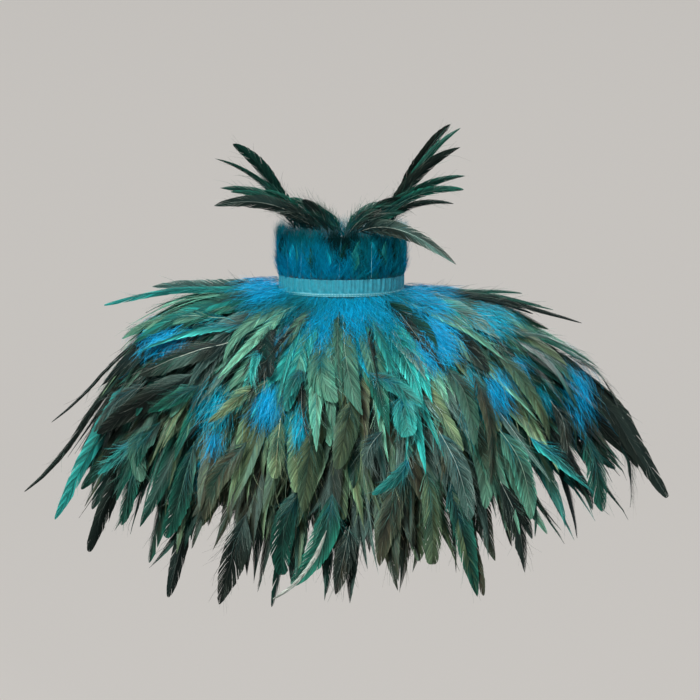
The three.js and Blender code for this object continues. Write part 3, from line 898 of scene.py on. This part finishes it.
def tier_feathers(tier):
    """The tier's own feathers, spread round its tape in loose clumps."""
    row = TIERS[tier - 1]
    count = row["feathers"]
    fine = np.linspace(-SLIT, SLIT, ROUND_STEPS)
    steps = cape_span(fine[1:], tier_edge(tier) + row["reach"] / 2) * np.diff(fine)
    travelled = np.concatenate([[0], np.cumsum(steps)])
    wanted = (np.arange(count) + 0.5 + spread(-0.5, 0.5, count)) / count * travelled[-1]
    angle = np.interp(wanted, travelled, fine)
    reach = row["reach"] * spread(row["shortest"], row["longest"], count)
    edge = tier_edge(tier) + spread(*ROOT_SCATTER, count)
    span = cape_span(angle, edge + reach)
    clump = sum(size * np.sin(angle * waves + tier * shift) for size, waves, shift in CLUMP_WAVES)
    points, normals = cape_quills({
        "angle": angle,
        "reach": reach,
        "edge": edge,
        "usual": row["reach"],
        "lean": (clump + bell(LEAN, count)) / span,
        "bow": bell(BOW, count) / span,
        "bend": tier_bend(angle, tier),
        "flare": bell(FLARE, count),
        "late": FLARE_POWER,
        "raised": spread(*RAISED, count),
    })
    slim = random.random(count) < SLIM_SHARE
    width = np.where(slim, spread(*SLIM_WIDTH, count), spread(*BROAD_WIDTH, count))
    look = plain_look(kinds_at(points[:, KIND_STATION], tier), width)
    look["other"] = drawn_kinds(count, tier)
    look["shade"] = look["shade"] * row["shade"]
    look["root_painted_shade"] = np.full(count, row["root_painted_shade"])
    return dressed(points, normals, look, TIER_DOWN, TIER_BARBS)


def stray_feathers(tier):
    """The tier's long feathers that break the outline. Those of the top tier ride higher and flare sooner."""
    column = columns([row for row in STRAYS if row[0] == tier], STRAY_COLUMNS)
    angle = column["angle"] * DEGREE
    points, normals = cape_quills({
        "angle": angle,
        "reach": column["reach"],
        "edge": tier_edge(tier),
        "usual": TIERS[tier - 1]["reach"],
        "lean": column["sweep"] / cape_span(angle, tier_edge(tier) + column["reach"]),
        "bow": 0,
        "bend": tier_bend(angle, tier),
        "flare": column["flare"],
        "late": FLARE_POWER if tier == 1 else LATE_FLARE_POWER,
        "raised": STRAY_LIFT if tier == 1 else 0,
    })
    look = plain_look(column["kind"], column["width"])
    look["roll"] = -STRAY_ROLL * np.sign(angle)
    look["twist"] = spread(-0.15, 0.15, len(angle))
    look["tip"] = spread(0.35, 0.6, len(angle))
    return dressed(points, normals, look, TIER_DOWN, TIER_BARBS)


# The feathers that catch the eye on the shown side: root and tip as pixels of the photograph, width in
# millimetres, kind, and how sharp the tip is, from 0.2 for round to 1.2 for a lance

HERO_SIDE = 80 * DEGREE
HERO_BOW = 0.02
HERO_RISE = 7
HERO_RISE_BY = 0.4
HERO_DOWN, HERO_BARBS = 44, 60
HERO_COLUMNS = ("root_x", "root_y", "tip_x", "tip_y", "width", "kind", "tip")
HEROES = (
    (225, 316, 120, 333, 16, "grey_green", 0.5),
    (246, 322, 140, 356, 20, "teal", 0.6),
    (228, 341, 144, 376, 24, "black", 0.5),
    (196, 372, 100, 434, 22, "black", 0.6),
    (144, 383, 98, 432, 18, "slate", 0.4),
    (141, 428, 144, 481, 18, "grey_green", 0.5),
    (136, 439, 102, 474, 11, "teal", 0.6),
    (160, 420, 118, 500, 22, "dark_green", 0.6),
    (138, 450, 123, 526, 19, "dark_green", 0.6),
    (192, 442, 166, 537, 25, "dark_green", 0.4),
    (267, 319, 271, 378, 18, "black", 0.5),
    (263, 346, 253, 388, 9, "teal", 0.9),
    (304, 366, 283, 408, 13, "teal", 0.9),
    (268, 380, 208, 424, 14, "olive", 0.8),
    (200, 385, 150, 412, 15, "dark_green", 0.7),
    (281, 418, 276, 480, 16, "olive", 0.4),
    (312, 424, 306, 512, 24, "olive", 0.5),
    (248, 512, 220, 606, 27, "black", 0.8),
    (250, 440, 205, 520, 22, "bronze", 0.6),
    (323, 350, 337, 404, 27, "grey_green", 0.6),
    (368, 372, 423, 408, 15, "teal", 0.7),
    (402, 395, 409, 436, 22, "teal", 0.3),
    (446, 366, 472, 446, 19, "grey_green", 0.6),
    (301, 487, 285, 574, 22, "dark_green", 0.3),
    (330, 492, 292, 584, 26, "dark_green", 0.5),
    (351, 526, 337, 594, 19, "black", 0.8),
    (407, 470, 379, 566, 23, "bronze", 0.8),
    (408, 458, 371, 495, 12, "teal", 0.5),
    (427, 467, 432, 564, 22, "olive", 0.25),
    (385, 430, 372, 470, 14, "slate", 0.9),
    (350, 400, 335, 470, 24, "olive", 0.5),
    (486, 346, 548, 442, 16, "olive", 0.7),
    (516, 338, 575, 410, 26, "dark_green", 0.6),
    (472, 372, 489, 486, 18, "bronze", 0.7),
    (532, 436, 589, 494, 15, "teal", 1.0),
    (552, 400, 565, 454, 20, "black", 0.6),
    (587, 432, 598, 512, 24, "dark_green", 0.6),
    (612, 432, 626, 508, 22, "black", 0.7),
    (514, 327, 587, 361, 10, "dark_green", 0.8),
    (559, 350, 628, 399, 14, "black", 0.8),
    (440, 430, 470, 520, 20, "slate", 0.6),
    (500, 430, 530, 520, 22, "grey_green", 0.6),
    (450, 480, 478, 596, 20, "dark_green", 0.8),
    (500, 480, 523, 572, 20, "black", 0.8),
)


def hero_feathers(tier):
    """The shown side's own feathers that start on this tier, laid just over the outer layer."""
    column = columns(HEROES, HERO_COLUMNS)
    ends = [on_skin(zip(column[end + "_x"], column[end + "_y"])) for end in ("root", "tip")]
    own = home_tier(ends[0][1]) == tier
    if not own.any():
        return []
    angles = [np.clip(angle[own], -HERO_SIDE, HERO_SIDE)[:, None] for angle, _ in ends]
    alongs = [along[own][:, None] for _, along in ends]
    angle = mix(*angles, SHARES) + bell(HERO_BOW, own.sum(), 1) * BOWED
    along = mix(*alongs, SHARES)
    lift = outer_lift(angle, along) - OUTER_COVER + HERO_RISE * smooth(0, HERO_RISE_BY, SHARES)
    look = plain_look(column["kind"][own], column["width"][own])
    look["tip"] = column["tip"][own]
    look["other"] = drawn_kinds(own.sum(), tier)
    return dressed(cape_point(angle, along, lift), cape_normal(angle, along), look, HERO_DOWN, HERO_BARBS)


# One pale feather turned over at the hem, as pixels of the photograph

TURNED_ROOT = (326, 531)
TURNED_MIDDLE = (312, 578)
TURNED_TIP = (270, 600)
TURNED_WIDTH = 4.5
TURNED_LIFT = 6


def curve_weights(share):
    """Weights of the start, the middle and the end of a curve at each share of it."""
    return np.stack([(1 - share) ** 2, 2 * share * (1 - share), share**2], -1)


def turned_feather():
    """The slim pale feather that curves out under the hem."""
    places = on_skin([TURNED_ROOT, TURNED_MIDDLE, TURNED_TIP])
    angle, along = (curve_weights(SHARES) @ ends for ends in places)
    look = plain_look(kind_numbers("ivory"), np.array([TURNED_WIDTH]))
    look.update({name: np.zeros(1) for name in ("fluff", "split", "roll")})
    points = cape_point(angle, along, outer_lift(angle, along) + TURNED_LIFT)
    return feathers(points[None], cape_normal(angle, along)[None], look)


# Down on the cape: boxes of pixels of the photograph, with how far the hairs stand over the outer layer

AZURE = (0, 164, 218)
CYAN = (0, 172, 206)
SEA = (0, 124, 146)
MOSS = (20, 106, 102)
TEAL_EDGE = (10, 112, 112)
FLUFFS = (
    (296, 290, 362, 352, AZURE, 4200, 2),
    (350, 294, 404, 352, SEA, 2200, 1),
    (318, 336, 366, 376, SEA, 900, 0),
    (243, 278, 289, 308, AZURE, 3200, 13),
    (232, 302, 292, 345, MOSS, 1000, 0),
    (376, 320, 424, 356, MOSS, 800, 0),
    (440, 298, 520, 330, MOSS, 1000, 1),
    (134, 320, 192, 356, AZURE, 1100, 2),
    (200, 388, 230, 420, CYAN, 420, 0),
    (256, 384, 280, 415, AZURE, 600, 1),
    (292, 410, 305, 436, CYAN, 240, 0),
    (204, 430, 221, 444, AZURE, 120, 0),
    (193, 458, 207, 480, SEA, 140, 0),
    (402, 284, 452, 320, AZURE, 3400, 6),
    (412, 316, 456, 368, AZURE, 3200, 5),
    (462, 302, 516, 338, CYAN, 2000, 5),
    (463, 368, 477, 413, CYAN, 300, 0),
    (483, 368, 513, 405, AZURE, 420, 0),
    (513, 354, 529, 370, AZURE, 160, 0),
    (536, 384, 555, 405, SEA, 220, 0),
    (567, 362, 598, 418, AZURE, 620, 0),
)
# A broad patch is a puff and a narrow one is loose: each pair is the value for loose and for puff
PUFF_PIXELS = (28, 42)
FLUFF_SPREAD_X = (0.3, 0.24)
FLUFF_SPREAD_Y = (0.36, 0.26)
FLUFF_SUNK = (-11, -9)
FLUFF_TOP_DROP = (3, 0)
FLUFF_STRETCH = (1.5, 1.0)
FLUFF_STRAY = (0.28, 0.5)
FLUFF_LENGTH = (7, 19)

SHOULDER_HAIRS = 12000
SHOULDER_REACH = 44
SHOULDER_LIFT = (0.5, 6)
SHOULDER_LENGTH = (12, 26)
SHOULDER_STRAY = 0.45
SHOULDER_COLOUR = (14, 104, 112)


def down_on_cape(angle, along, lift, length, colours, stray):
    """Hairs of down that lie down the cape from these places, more or less astray."""
    count = len(angle)
    ahead = unit(cape_face(angle, along + DOWN_STEP) - cape_face(angle, along))
    ways = unit(ahead + unit(cape_around(angle, along)) * bell(stray, count, 1))
    tip = np.clip(colours * spread(0.95, 1.25, count, 1), 0, 1)
    roots, normals = cape_point(angle, along, lift), cape_normal(angle, along)
    # the roots darker, a painted shade
    return hairs(roots, ways, normals, length, spread(*DOWN_WIDTH, count), colours * DOWN_ROOT_PAINTED_SHADE, tip)


def shoulder_down(count):
    """Dyed down under the ribbon, all round the neck."""
    angle = spread(-SLIT, SLIT, count)
    along = FIRST_TIER - TAPE_HEIGHT + SHOULDER_REACH * random.random(count) ** 1.3
    lift = LOCK_SEAT + TIER_SLOPE * np.maximum(along - FIRST_TIER, 0) + spread(*SHOULDER_LIFT, count)
    patch = 0.25 + 0.55 * np.sin(angle * 3.1 + 0.6) * np.cos(angle * 1.7)
    patch = np.clip(patch + bell(0.25, count), 0, 1)[:, None]
    colours = mix(linear(SHOULDER_COLOUR), linear(AZURE), patch)
    return down_on_cape(angle, along, lift, spread(*SHOULDER_LENGTH, count), colours, SHOULDER_STRAY)


def fluff_patch(left, top, right, bottom, colour, count, stand):
    """One patch of dyed down, denser and brighter in its middle."""
    size = np.array([right - left, bottom - top])
    puff = smooth(*PUFF_PIXELS, right - left)
    x = left + size[0] * (0.5 + bell(mix(*FLUFF_SPREAD_X, puff), count))
    y = top + size[1] * (0.36 + bell(mix(*FLUFF_SPREAD_Y, puff), count))
    pixels = np.stack([x, y], -1)
    angle, along = on_skin(pixels)
    angle = angle + spread(-0.5, 0.5, count) * DEGREE
    along = along + spread(-1, 1, count)
    highest = stand - mix(*FLUFF_TOP_DROP, puff)
    lift = outer_lift(angle, along) + spread(mix(*FLUFF_SUNK, puff), highest, count)
    away = np.linalg.norm((pixels - (left, top)) / size - 0.5, axis=-1)
    colours = mix(linear(colour), linear(TEAL_EDGE), 0.7 * smooth(0.3, 0.75, away)[:, None])
    colours = colours * spread(0.75, 1.2, count, 1)
    length = spread(*FLUFF_LENGTH, count) * mix(*FLUFF_STRETCH, puff)
    return down_on_cape(angle, along, lift, length, colours, mix(*FLUFF_STRAY, puff))


def fluff_patches(tier):
    """Patches of dyed down that show between the feathers of this tier."""
    middles = [((left + right) / 2, (top + bottom) / 2) for left, top, right, bottom, *_ in FLUFFS]
    homes = home_tier(on_skin(middles)[1])
    return [fluff_patch(*row) for row, home in zip(FLUFFS, homes) if home == tier]


def tape(tier):
    """The tier's tape, on which its quills are sewn."""
    angle, along = ring_grid(TAPE_STEPS, tier_edge(tier) - np.array([TAPE_HEIGHT, 0]))
    corners = cape_point(angle, along, np.full(angle.shape, TAPE_LIFT))
    round_share = np.linspace(0, 1, len(angle))[:, None]
    height_share = np.array([0, 1])
    grain = (round_share * path_length(corners[:, 0], 0) / CM, height_share)
    return shape(corners[None], linear(TAPE_COLOUR), grain, (round_share, height_share))


for number, row in enumerate(TIERS, 1):
    parts = tier_feathers(number) + stray_feathers(number) + hero_feathers(number)
    parts += [tape(number)] + fluff_patches(number)
    if number == 1:
        parts.append(shoulder_down(SHOULDER_HAIRS))
    if number == len(TIERS):
        parts.append(turned_feather())
    tier_node = f"feather_tier_{number}"
    piece(tier_node + "_feathers", parts, MATERIALS[row["slot"]], row["slot"], tier_node)


# Collar

SLIT_COVER = 2 * DEGREE
COLLAR_HAIRS = 24000
COLLAR_DOWN_START = 17
COLLAR_DOWN_RISE = 42
COLLAR_DOWN_LIFT = (0.3, 2.0)
COLLAR_DOWN_LENGTH = (9, 20)
COLLAR_TEAL = (4, 108, 120)
COLLAR_BLUE = (0, 134, 178)
COLLAR_RIM = (12, 78, 78)
COLLAR_NOTCH_PAINTED_SHADE = (6, 28, 26)
COLLAR_TUFTS = ((0.4, 21, 0.09), (0.25, 47, -0.13))
COLLAR_STRAY = 0.38
COLLAR_LEFT = (-0.6, 0.5)
COLLAR_PAINTED_LIGHT_SPAN = (0.6, 1.4)
COLLAR_PAINTED_LIGHT_GAIN = 0.7
COLLAR_LOW = (34, 58)
COLLAR_RIM_FROM = (44, 58)
NOTCH_START = 27
NOTCH_HALF = 0.4
NOTCH_ANGLE = 0.02
HACKLES = 60
HACKLE_START = 20
HACKLE_REACH = (28, 40)
HACKLE_WIDTH = (9, 15)
HACKLE_LIFT = 1.2
HACKLE_RISE = 2.5


def collar_down(count):
    """Soft dyed down that stands up the collar, darker towards the rim, with a painted shade in the shown
    side's middle and painted light towards the right.
    """
    angle = spread(-SLIT - SLIT_COVER, SLIT + SLIT_COVER, count)
    height = COLLAR_DOWN_START + COLLAR_DOWN_RISE * random.random(count)
    normals = collar_normal(angle)
    around = np.stack([NECK_HALF_WIDTH * np.cos(angle), NECK_HALF_DEPTH * np.sin(angle), 0 * angle], -1)
    tuft = sum(size * np.sin(angle * waves + slope * height) for size, waves, slope in COLLAR_TUFTS)
    ways = np.array([0.0, 0.0, 1.0]) + unit(around) * (tuft + bell(COLLAR_STRAY, count))[:, None]
    ways = unit(ways + normals * (0.6 * random.random((count, 1)) ** 5 - 0.16))
    roots = collar_point(angle, height, spread(*COLLAR_DOWN_LIFT, count))

    # bluer low down and to the left, greener at the rim, with a painted shade in a V at the front middle and
    # painted light towards the right
    left = 1 - smooth(*COLLAR_LEFT, angle + 0.15 * np.sin(height * 0.2))
    low = 1 - smooth(*COLLAR_LOW, height + 6 * np.sin(angle * 7))
    blue = 0.1 + 0.75 * left * low + 0.35 * low * np.maximum(0, np.sin(angle * 9 + 1))
    blue = np.clip(blue + bell(0.16, count), 0, 1)[:, None]
    colours = mix(linear(COLLAR_TEAL), linear(COLLAR_BLUE), blue)
    colours = mix(colours, linear(COLLAR_RIM), 0.6 * smooth(*COLLAR_RIM_FROM, height)[:, None])
    # painted shade: a dark V at the front middle of the rim, where the collar's front dips
    half_notch_shade = NOTCH_HALF * smooth(NOTCH_START, COLLAR_HEIGHT, height)
    notch_shade = 1 - smooth(0.6 * half_notch_shade, 1.1 * half_notch_shade + 0.03, np.abs(angle - NOTCH_ANGLE))
    colours = mix(colours, linear(COLLAR_NOTCH_PAINTED_SHADE), 0.95 * notch_shade[:, None])
    # painted light: the down brighter towards the right side
    colours = colours * (1 + COLLAR_PAINTED_LIGHT_GAIN * smooth(*COLLAR_PAINTED_LIGHT_SPAN, angle))[:, None]
    tip = np.clip(colours * spread(0.8, 1.35, count, 1), 0, 1)
    length, width = spread(*COLLAR_DOWN_LENGTH, count), spread(*DOWN_WIDTH, count)
    # the roots darker, a painted shade
    return hairs(roots, ways, normals, length, width, colours * 0.65, tip)


def collar_hackles(count):
    """Small soft feathers that stand under the collar's down."""
    angle = (np.arange(count) + spread(0.2, 0.8, count)) / count * 2 * SLIT - SLIT
    height = HACKLE_START + spread(*HACKLE_REACH, count)[:, None] * SHARES
    places = angle[:, None] + bell(0.06, count, 1) * SHARES
    points = collar_point(places, height, HACKLE_LIFT + HACKLE_RISE * SHARES)
    choices = kind_numbers("azure", "teal", "dark_green")
    look = plain_look(random.choice(choices, count), spread(*HACKLE_WIDTH, count))
    look["fluff"] = spread(0.5, 0.8, count)
    return feathers(points, collar_normal(places), look)


collar_shapes = [collar_down(COLLAR_HAIRS), collar_hackles(HACKLES)]
piece("collar_down", collar_shapes, MATERIALS["collar_fluff"], "collar_fluff", "collar_feathers")


# Plumes on the collar's rim, as in the part's source, and then the scene's own smaller rim feathers

PLUME_ROOT_HEIGHT = 66.3
PLUME_BOW = 0.28
PLUME_BOW_AT = 0.4
PLUME_FACING = 0.5
PLUME_SLIMMER = 0.9
PLUME_DARK_SHARES = (0.7, 0.3)
PLUME_DOWN, PLUME_BARBS = 60, 30
PLUME_COLUMNS = ("angle", "tip_x", "tip_y", "tip_z", "width")
PLUMES = {
    "collar_plumes_right": (
        (54, 111, -46, 171, 17),
        (47, 121, -54, 167, 8),
        (40, 120, -64, 147, 14),
        (33, 124, -80, 118, 10),
        (26, 122, -93, 104, 10),
        (16, 114, -106, 30, 18),
    ),
    "collar_plumes_left": (
        (-12, -39, -74, 94, 12),
        (-22, -126, -92, 88, 17),
        (-31, -121, -76, 106, 14),
        (-40, -128, -58, 136, 8),
        (-48, -110, -48, 151, 16),
    ),
}
RIM_FEATHERS = {
    "collar_plumes_right": (
        (3, 47, -62, 92, 11),
        (8, 40, -64, 84, 13),
        (14, 62, -66, 96, 10),
        (20, 66, -66, 82, 12),
        (28, 74, -62, 104, 9),
        (34, 112, -96, 90, 7),
    ),
    "collar_plumes_left": (
        (0, -26, -64, 86, 10),
        (-6, -34, -66, 92, 12),
        (-12, -52, -66, 96, 11),
        (-18, -58, -66, 84, 14),
        (-26, -78, -64, 104, 9),
        (-34, -110, -84, 102, 7),
    ),
}


def plume_feathers(rows):
    """Plumes along bowed quills from the collar's rim to their tips, their flat sides outwards."""
    count = len(rows)
    column = columns(rows, PLUME_COLUMNS)
    angle = column["angle"] * DEGREE
    start = collar_point(angle, PLUME_ROOT_HEIGHT, -CLOTH_THICKNESS / 2)
    tip = np.stack([column["tip_x"], column["tip_y"], column["tip_z"]], -1)
    bow = mix(start, tip, PLUME_BOW_AT)
    bow[:, 2] += PLUME_BOW * np.linalg.norm(tip - start, axis=-1)
    points = curve_weights(SHARES) @ np.stack([start, bow, tip], 1)
    facing = PLUME_FACING * angle
    outwards = np.stack([np.sin(facing), -np.cos(facing), 0 * facing], -1)
    normals = np.broadcast_to(outwards[:, None], points.shape)
    kinds = random.choice(kind_numbers("dark_green", "black"), count, p=PLUME_DARK_SHARES)
    look = plain_look(kinds, PLUME_SLIMMER * column["width"])
    look["roll"] = spread(-0.2, 0.2, count)
    look["root"] = spread(0.4, 0.6, count)
    look["tip"] = spread(0.5, 0.9, count)
    look["split"] = np.full(count, 0.008)
    return dressed(points, normals, look, PLUME_DOWN, PLUME_BARBS)


for plume_node, rows in PLUMES.items():
    parts = plume_feathers(rows + RIM_FEATHERS[plume_node])
    piece(plume_node + "_feathers", parts, MATERIALS["plumes"], "plumes", plume_node)


# Cloth and ribbon, a little thinner than their solids. A grid has so many corners round and so many down.

CAPE_GRID = (181, 34)
COLLAR_GRID = (121, 12)
RIBBON_GRID = (561, 22)
CLOTH_INSET = 0.2
HEM_WAVE = 0.3
HEM_WAVES = 17
HEM_WAVE_START = 40
SEAM_ALLOWANCE = 3.0
RIBBON_THICKNESS = 1.0
RIBBON_SEAM = 3.6
RIBBON_FOLDS = ((0.7, 43, 1.6, 9), (0.6, 89, 2.4, 5))
FOLD_SHARE = 0.6
FOLD_RUN = 4
BAND_EDGE = 0.4
GROOVE_DEPTH = 0.55
GROOVE_HALF = 0.5
BAND_PROUD = 0.45
STITCH_ROWS = (RIBBON_SEAM - 1.0, 0.9)
STITCH_STEP = 2.6 * DEGREE
STITCH_LENGTH = 1.7 * DEGREE
STITCH_HALF = 0.22
STITCH_RISE = 0.25
STITCH_COLOUR = (150, 205, 208)


def cloth_piece(name, outer, inner, slot, node_name):
    """A closed sheet between two grids of corners, which stands for a CAD node."""
    long, wide = outer.shape[:2]
    half = long * wide
    corners = np.concatenate([outer.reshape(-1, 3), inner.reshape(-1, 3)])
    front = grid_faces(1, long, wide)
    back = front[:, ::-1] + half
    numbers = np.arange(half).reshape(long, wide)
    rim = np.concatenate([numbers[0], numbers[1:, -1], numbers[-1, -2::-1], numbers[-2:0:-1, 0]])
    after = np.roll(rim, -1)
    edge = np.stack([after, rim, rim + half, after + half], -1)
    faces = np.concatenate([front, back, edge])
    mesh = bpy.data.meshes.new(name)
    mesh.from_pydata((corners * MM).tolist(), [], faces.tolist())
    around = np.linspace(0, path_length(outer[:, -1], 0) / CM, long)[:, None]
    down = np.linspace(0, path_length(outer[0], 0) / CM, wide)
    add_map(mesh, "Grain", np.tile(corner_map((around, down), (long, wide)), (2, 1)), faces.ravel())
    mesh.update()
    return placed(name, mesh, MATERIALS[slot], [node_name])


def cape_cloth():
    """The cape's cloth, with a slight wave towards its hem."""
    angle, along = ring_grid(CAPE_GRID[0], np.linspace(SEAM_HEIGHT, CLOTH_HEM, CAPE_GRID[1]))
    wave = HEM_WAVE * np.sin(angle * HEM_WAVES) * smooth(HEM_WAVE_START, CLOTH_HEM, along)
    outer = cape_point(angle, along, wave - CLOTH_INSET)
    inner = cape_point(angle, along, wave - CLOTH_THICKNESS + CLOTH_INSET)
    made = cloth_piece("cape_cloth", outer, inner, "backing_cloth", "cape_backing")


def collar_cloth():
    """The collar's cloth wall, turned in under the seam to meet the cape."""
    rows = np.linspace(COLLAR_HEIGHT, SEAM_HEIGHT - SEAM_ALLOWANCE, COLLAR_GRID[1])
    angle, height = ring_grid(COLLAR_GRID[0], rows)
    outer = collar_point(angle, height, -CLOTH_INSET)
    inner = collar_point(angle, height, CLOTH_INSET - CLOTH_THICKNESS)
    made = cloth_piece("collar_cloth", outer, inner, "backing_cloth", "collar_backing")


def ribbon_proud(angle, height):
    """How far the ribbon stands out: folds above, a sewn groove, and a flat lower edge."""
    folds = sum(
        size * np.sin(angle * waves + sway * np.sin(angle * slow)) for size, waves, sway, slow in RIBBON_FOLDS
    )
    folds = folds * smooth(RIBBON_SEAM, RIBBON_SEAM + FOLD_RUN, height)
    groove = GROOVE_DEPTH * np.exp(-(((height - RIBBON_SEAM) / GROOVE_HALF) ** 2))
    band = BAND_PROUD * (1 - smooth(RIBBON_SEAM - BAND_EDGE, RIBBON_SEAM + BAND_EDGE, height))
    return SEWING_GAP + RIBBON_THICKNESS + FOLD_SHARE * folds + band - groove


def ribbon_stitches(height):
    """A row of short stitches, each a small raised bridge of thread."""
    angle = np.arange(-SLIT + STITCH_STEP, SLIT - STITCH_STEP, STITCH_STEP)
    share = np.array([0.0, 0.3, 0.7, 1.0])[:, None]
    places = angle[:, None, None] + STITCH_LENGTH * (share - 0.5) + 0 * EDGES
    rows = np.broadcast_to(height + STITCH_HALF * EDGES, places.shape)
    raised = ribbon_proud(places, rows) + STITCH_RISE * np.sin(share * math.pi)
    corners = collar_point(places, SEAM_HEIGHT + rows, raised)
    tint = linear(STITCH_COLOUR) * spread(0.75, 1.15, len(angle), 1, 1, 1)
    across = 0.5 + 0.5 * EDGES
    return shape(corners, tint, (3 * share, 3 * across), (share, across))


def neck_ribbon():
    """The gathered ribbon: soft folds above a flat lower edge that is sewn down."""
    angle, height = ring_grid(RIBBON_GRID[0], np.linspace(RIBBON_HEIGHT, 0, RIBBON_GRID[1]))
    outer = collar_point(angle, SEAM_HEIGHT + height, ribbon_proud(angle, height))
    inner = collar_point(angle, SEAM_HEIGHT + height, SEWING_GAP)
    made = cloth_piece("gathered_ribbon", outer, inner, "ribbon", "neck_ribbon")
    stitches = [ribbon_stitches(row_height) for row_height in STITCH_ROWS]
    thread = piece("ribbon_stitches", stitches, MATERIALS["thread"], "ribbon")


cape_cloth()
collar_cloth()
neck_ribbon()
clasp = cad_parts["clasp"]
clasp.data.materials.clear()
clasp.data.materials.append(MATERIALS["clasp_metal"])


# Stage, light and camera, in metres

STAGE_FLOOR = -2.1
STAGE_RADIUS = 4.2
STAGE_CURVE = 1.4
STAGE_TOP = 7.0
STAGE_TURNS = 72
STAGE_CURVE_STEPS = 12
STAGE_HOLE = 0.02
STAGE_COLOUR = (210, 206, 201)
STAGE_GLOW = 0.36
SKY_COLOUR = (0.9, 0.92, 0.95, 1.0)
SKY_STRENGTH = 0.28
# Name, place, aim, size, power and colour
LIGHTS = (
    ("key", (-0.9, -1.6, 1.5), (0, 0, -0.1), 1.0, 78, (1.0, 0.98, 0.95)),
    ("fill", (1.6, -1.4, 0.6), (0, 0, -0.1), 1.6, 14, (0.95, 0.98, 1.0)),
    ("top", (0, 0.2, 1.9), (0, 0, 0), 2.0, 34, (1.0, 1.0, 1.0)),
    ("back", (0.7, 1.8, 1.0), (0, 0, -0.1), 1.6, 40, (1.0, 1.0, 1.0)),
)


def stage():
    """A round pale floor that curves up into a wall all round, wide enough for a view from any side."""
    turn = np.linspace(0, math.pi / 2, STAGE_CURVE_STEPS + 1)
    curve_out = STAGE_RADIUS - STAGE_CURVE * (1 - np.sin(turn))
    curve_height = STAGE_FLOOR + STAGE_CURVE * (1 - np.cos(turn))
    out = np.concatenate([[STAGE_HOLE], curve_out, [STAGE_RADIUS]])
    height = np.concatenate([[STAGE_FLOOR], curve_height, [STAGE_TOP]])
    angle = np.linspace(0, 2 * math.pi, STAGE_TURNS + 1)[:, None]
    corners = np.stack([out * np.cos(angle), out * np.sin(angle), height + 0 * angle], -1)
    middle = [step * len(out) for step in range(STAGE_TURNS)]
    faces = grid_faces(1, STAGE_TURNS + 1, len(out)).tolist() + [middle]
    mesh = bpy.data.meshes.new("stage")
    mesh.from_pydata(corners.reshape(-1, 3).tolist(), [], faces)
    mesh.polygons.foreach_set("use_smooth", np.ones(len(faces), bool))
    material, tree, shader = new_material("stage")
    pale = (*linear(STAGE_COLOUR), 1.0)
    feed(tree, shader, {"Base Color": pale, "Roughness": 0.9})
    feed(tree, shader, {"Emission Color": pale, "Emission Strength": STAGE_GLOW})
    mesh.materials.append(material)
    made = linked("stage", mesh)
    made.visible_diffuse = False
    made.visible_glossy = False


def area_light(name, place, aim, size, power, colour):
    light = bpy.data.lights.new(name, "AREA")
    light.size = size
    light.energy = power
    light.color = colour
    made = linked(name, light)
    made.location = place
    direction = np.array(aim) - np.array(place)
    made.rotation_euler = Vector(direction).to_track_quat("-Z", "Y").to_euler()


def sky():
    """Even pale light from all round."""
    world = bpy.data.worlds.new("soft_room")
    world.use_nodes = True
    background = world.node_tree.nodes["Background"]
    feed(world.node_tree, background, {"Color": SKY_COLOUR, "Strength": SKY_STRENGTH})
    bpy.context.scene.world = world


def camera():
    data = bpy.data.cameras.new("camera")
    data.sensor_width = SENSOR_WIDTH
    data.lens = SENSOR_WIDTH * VIEW_DISTANCE / (PIXEL_MM * IMAGE_SIDE)
    made = linked("camera", data)
    made.location = VIEW_PLACE * MM
    made.rotation_euler = (math.pi / 2 - VIEW_ELEVATION, 0, 0)
    bpy.context.scene.camera = made


stage()
for light_row in LIGHTS:
    area_light(*light_row)
sky()
bpy.context.scene.view_settings.view_transform = "Standard"
camera()
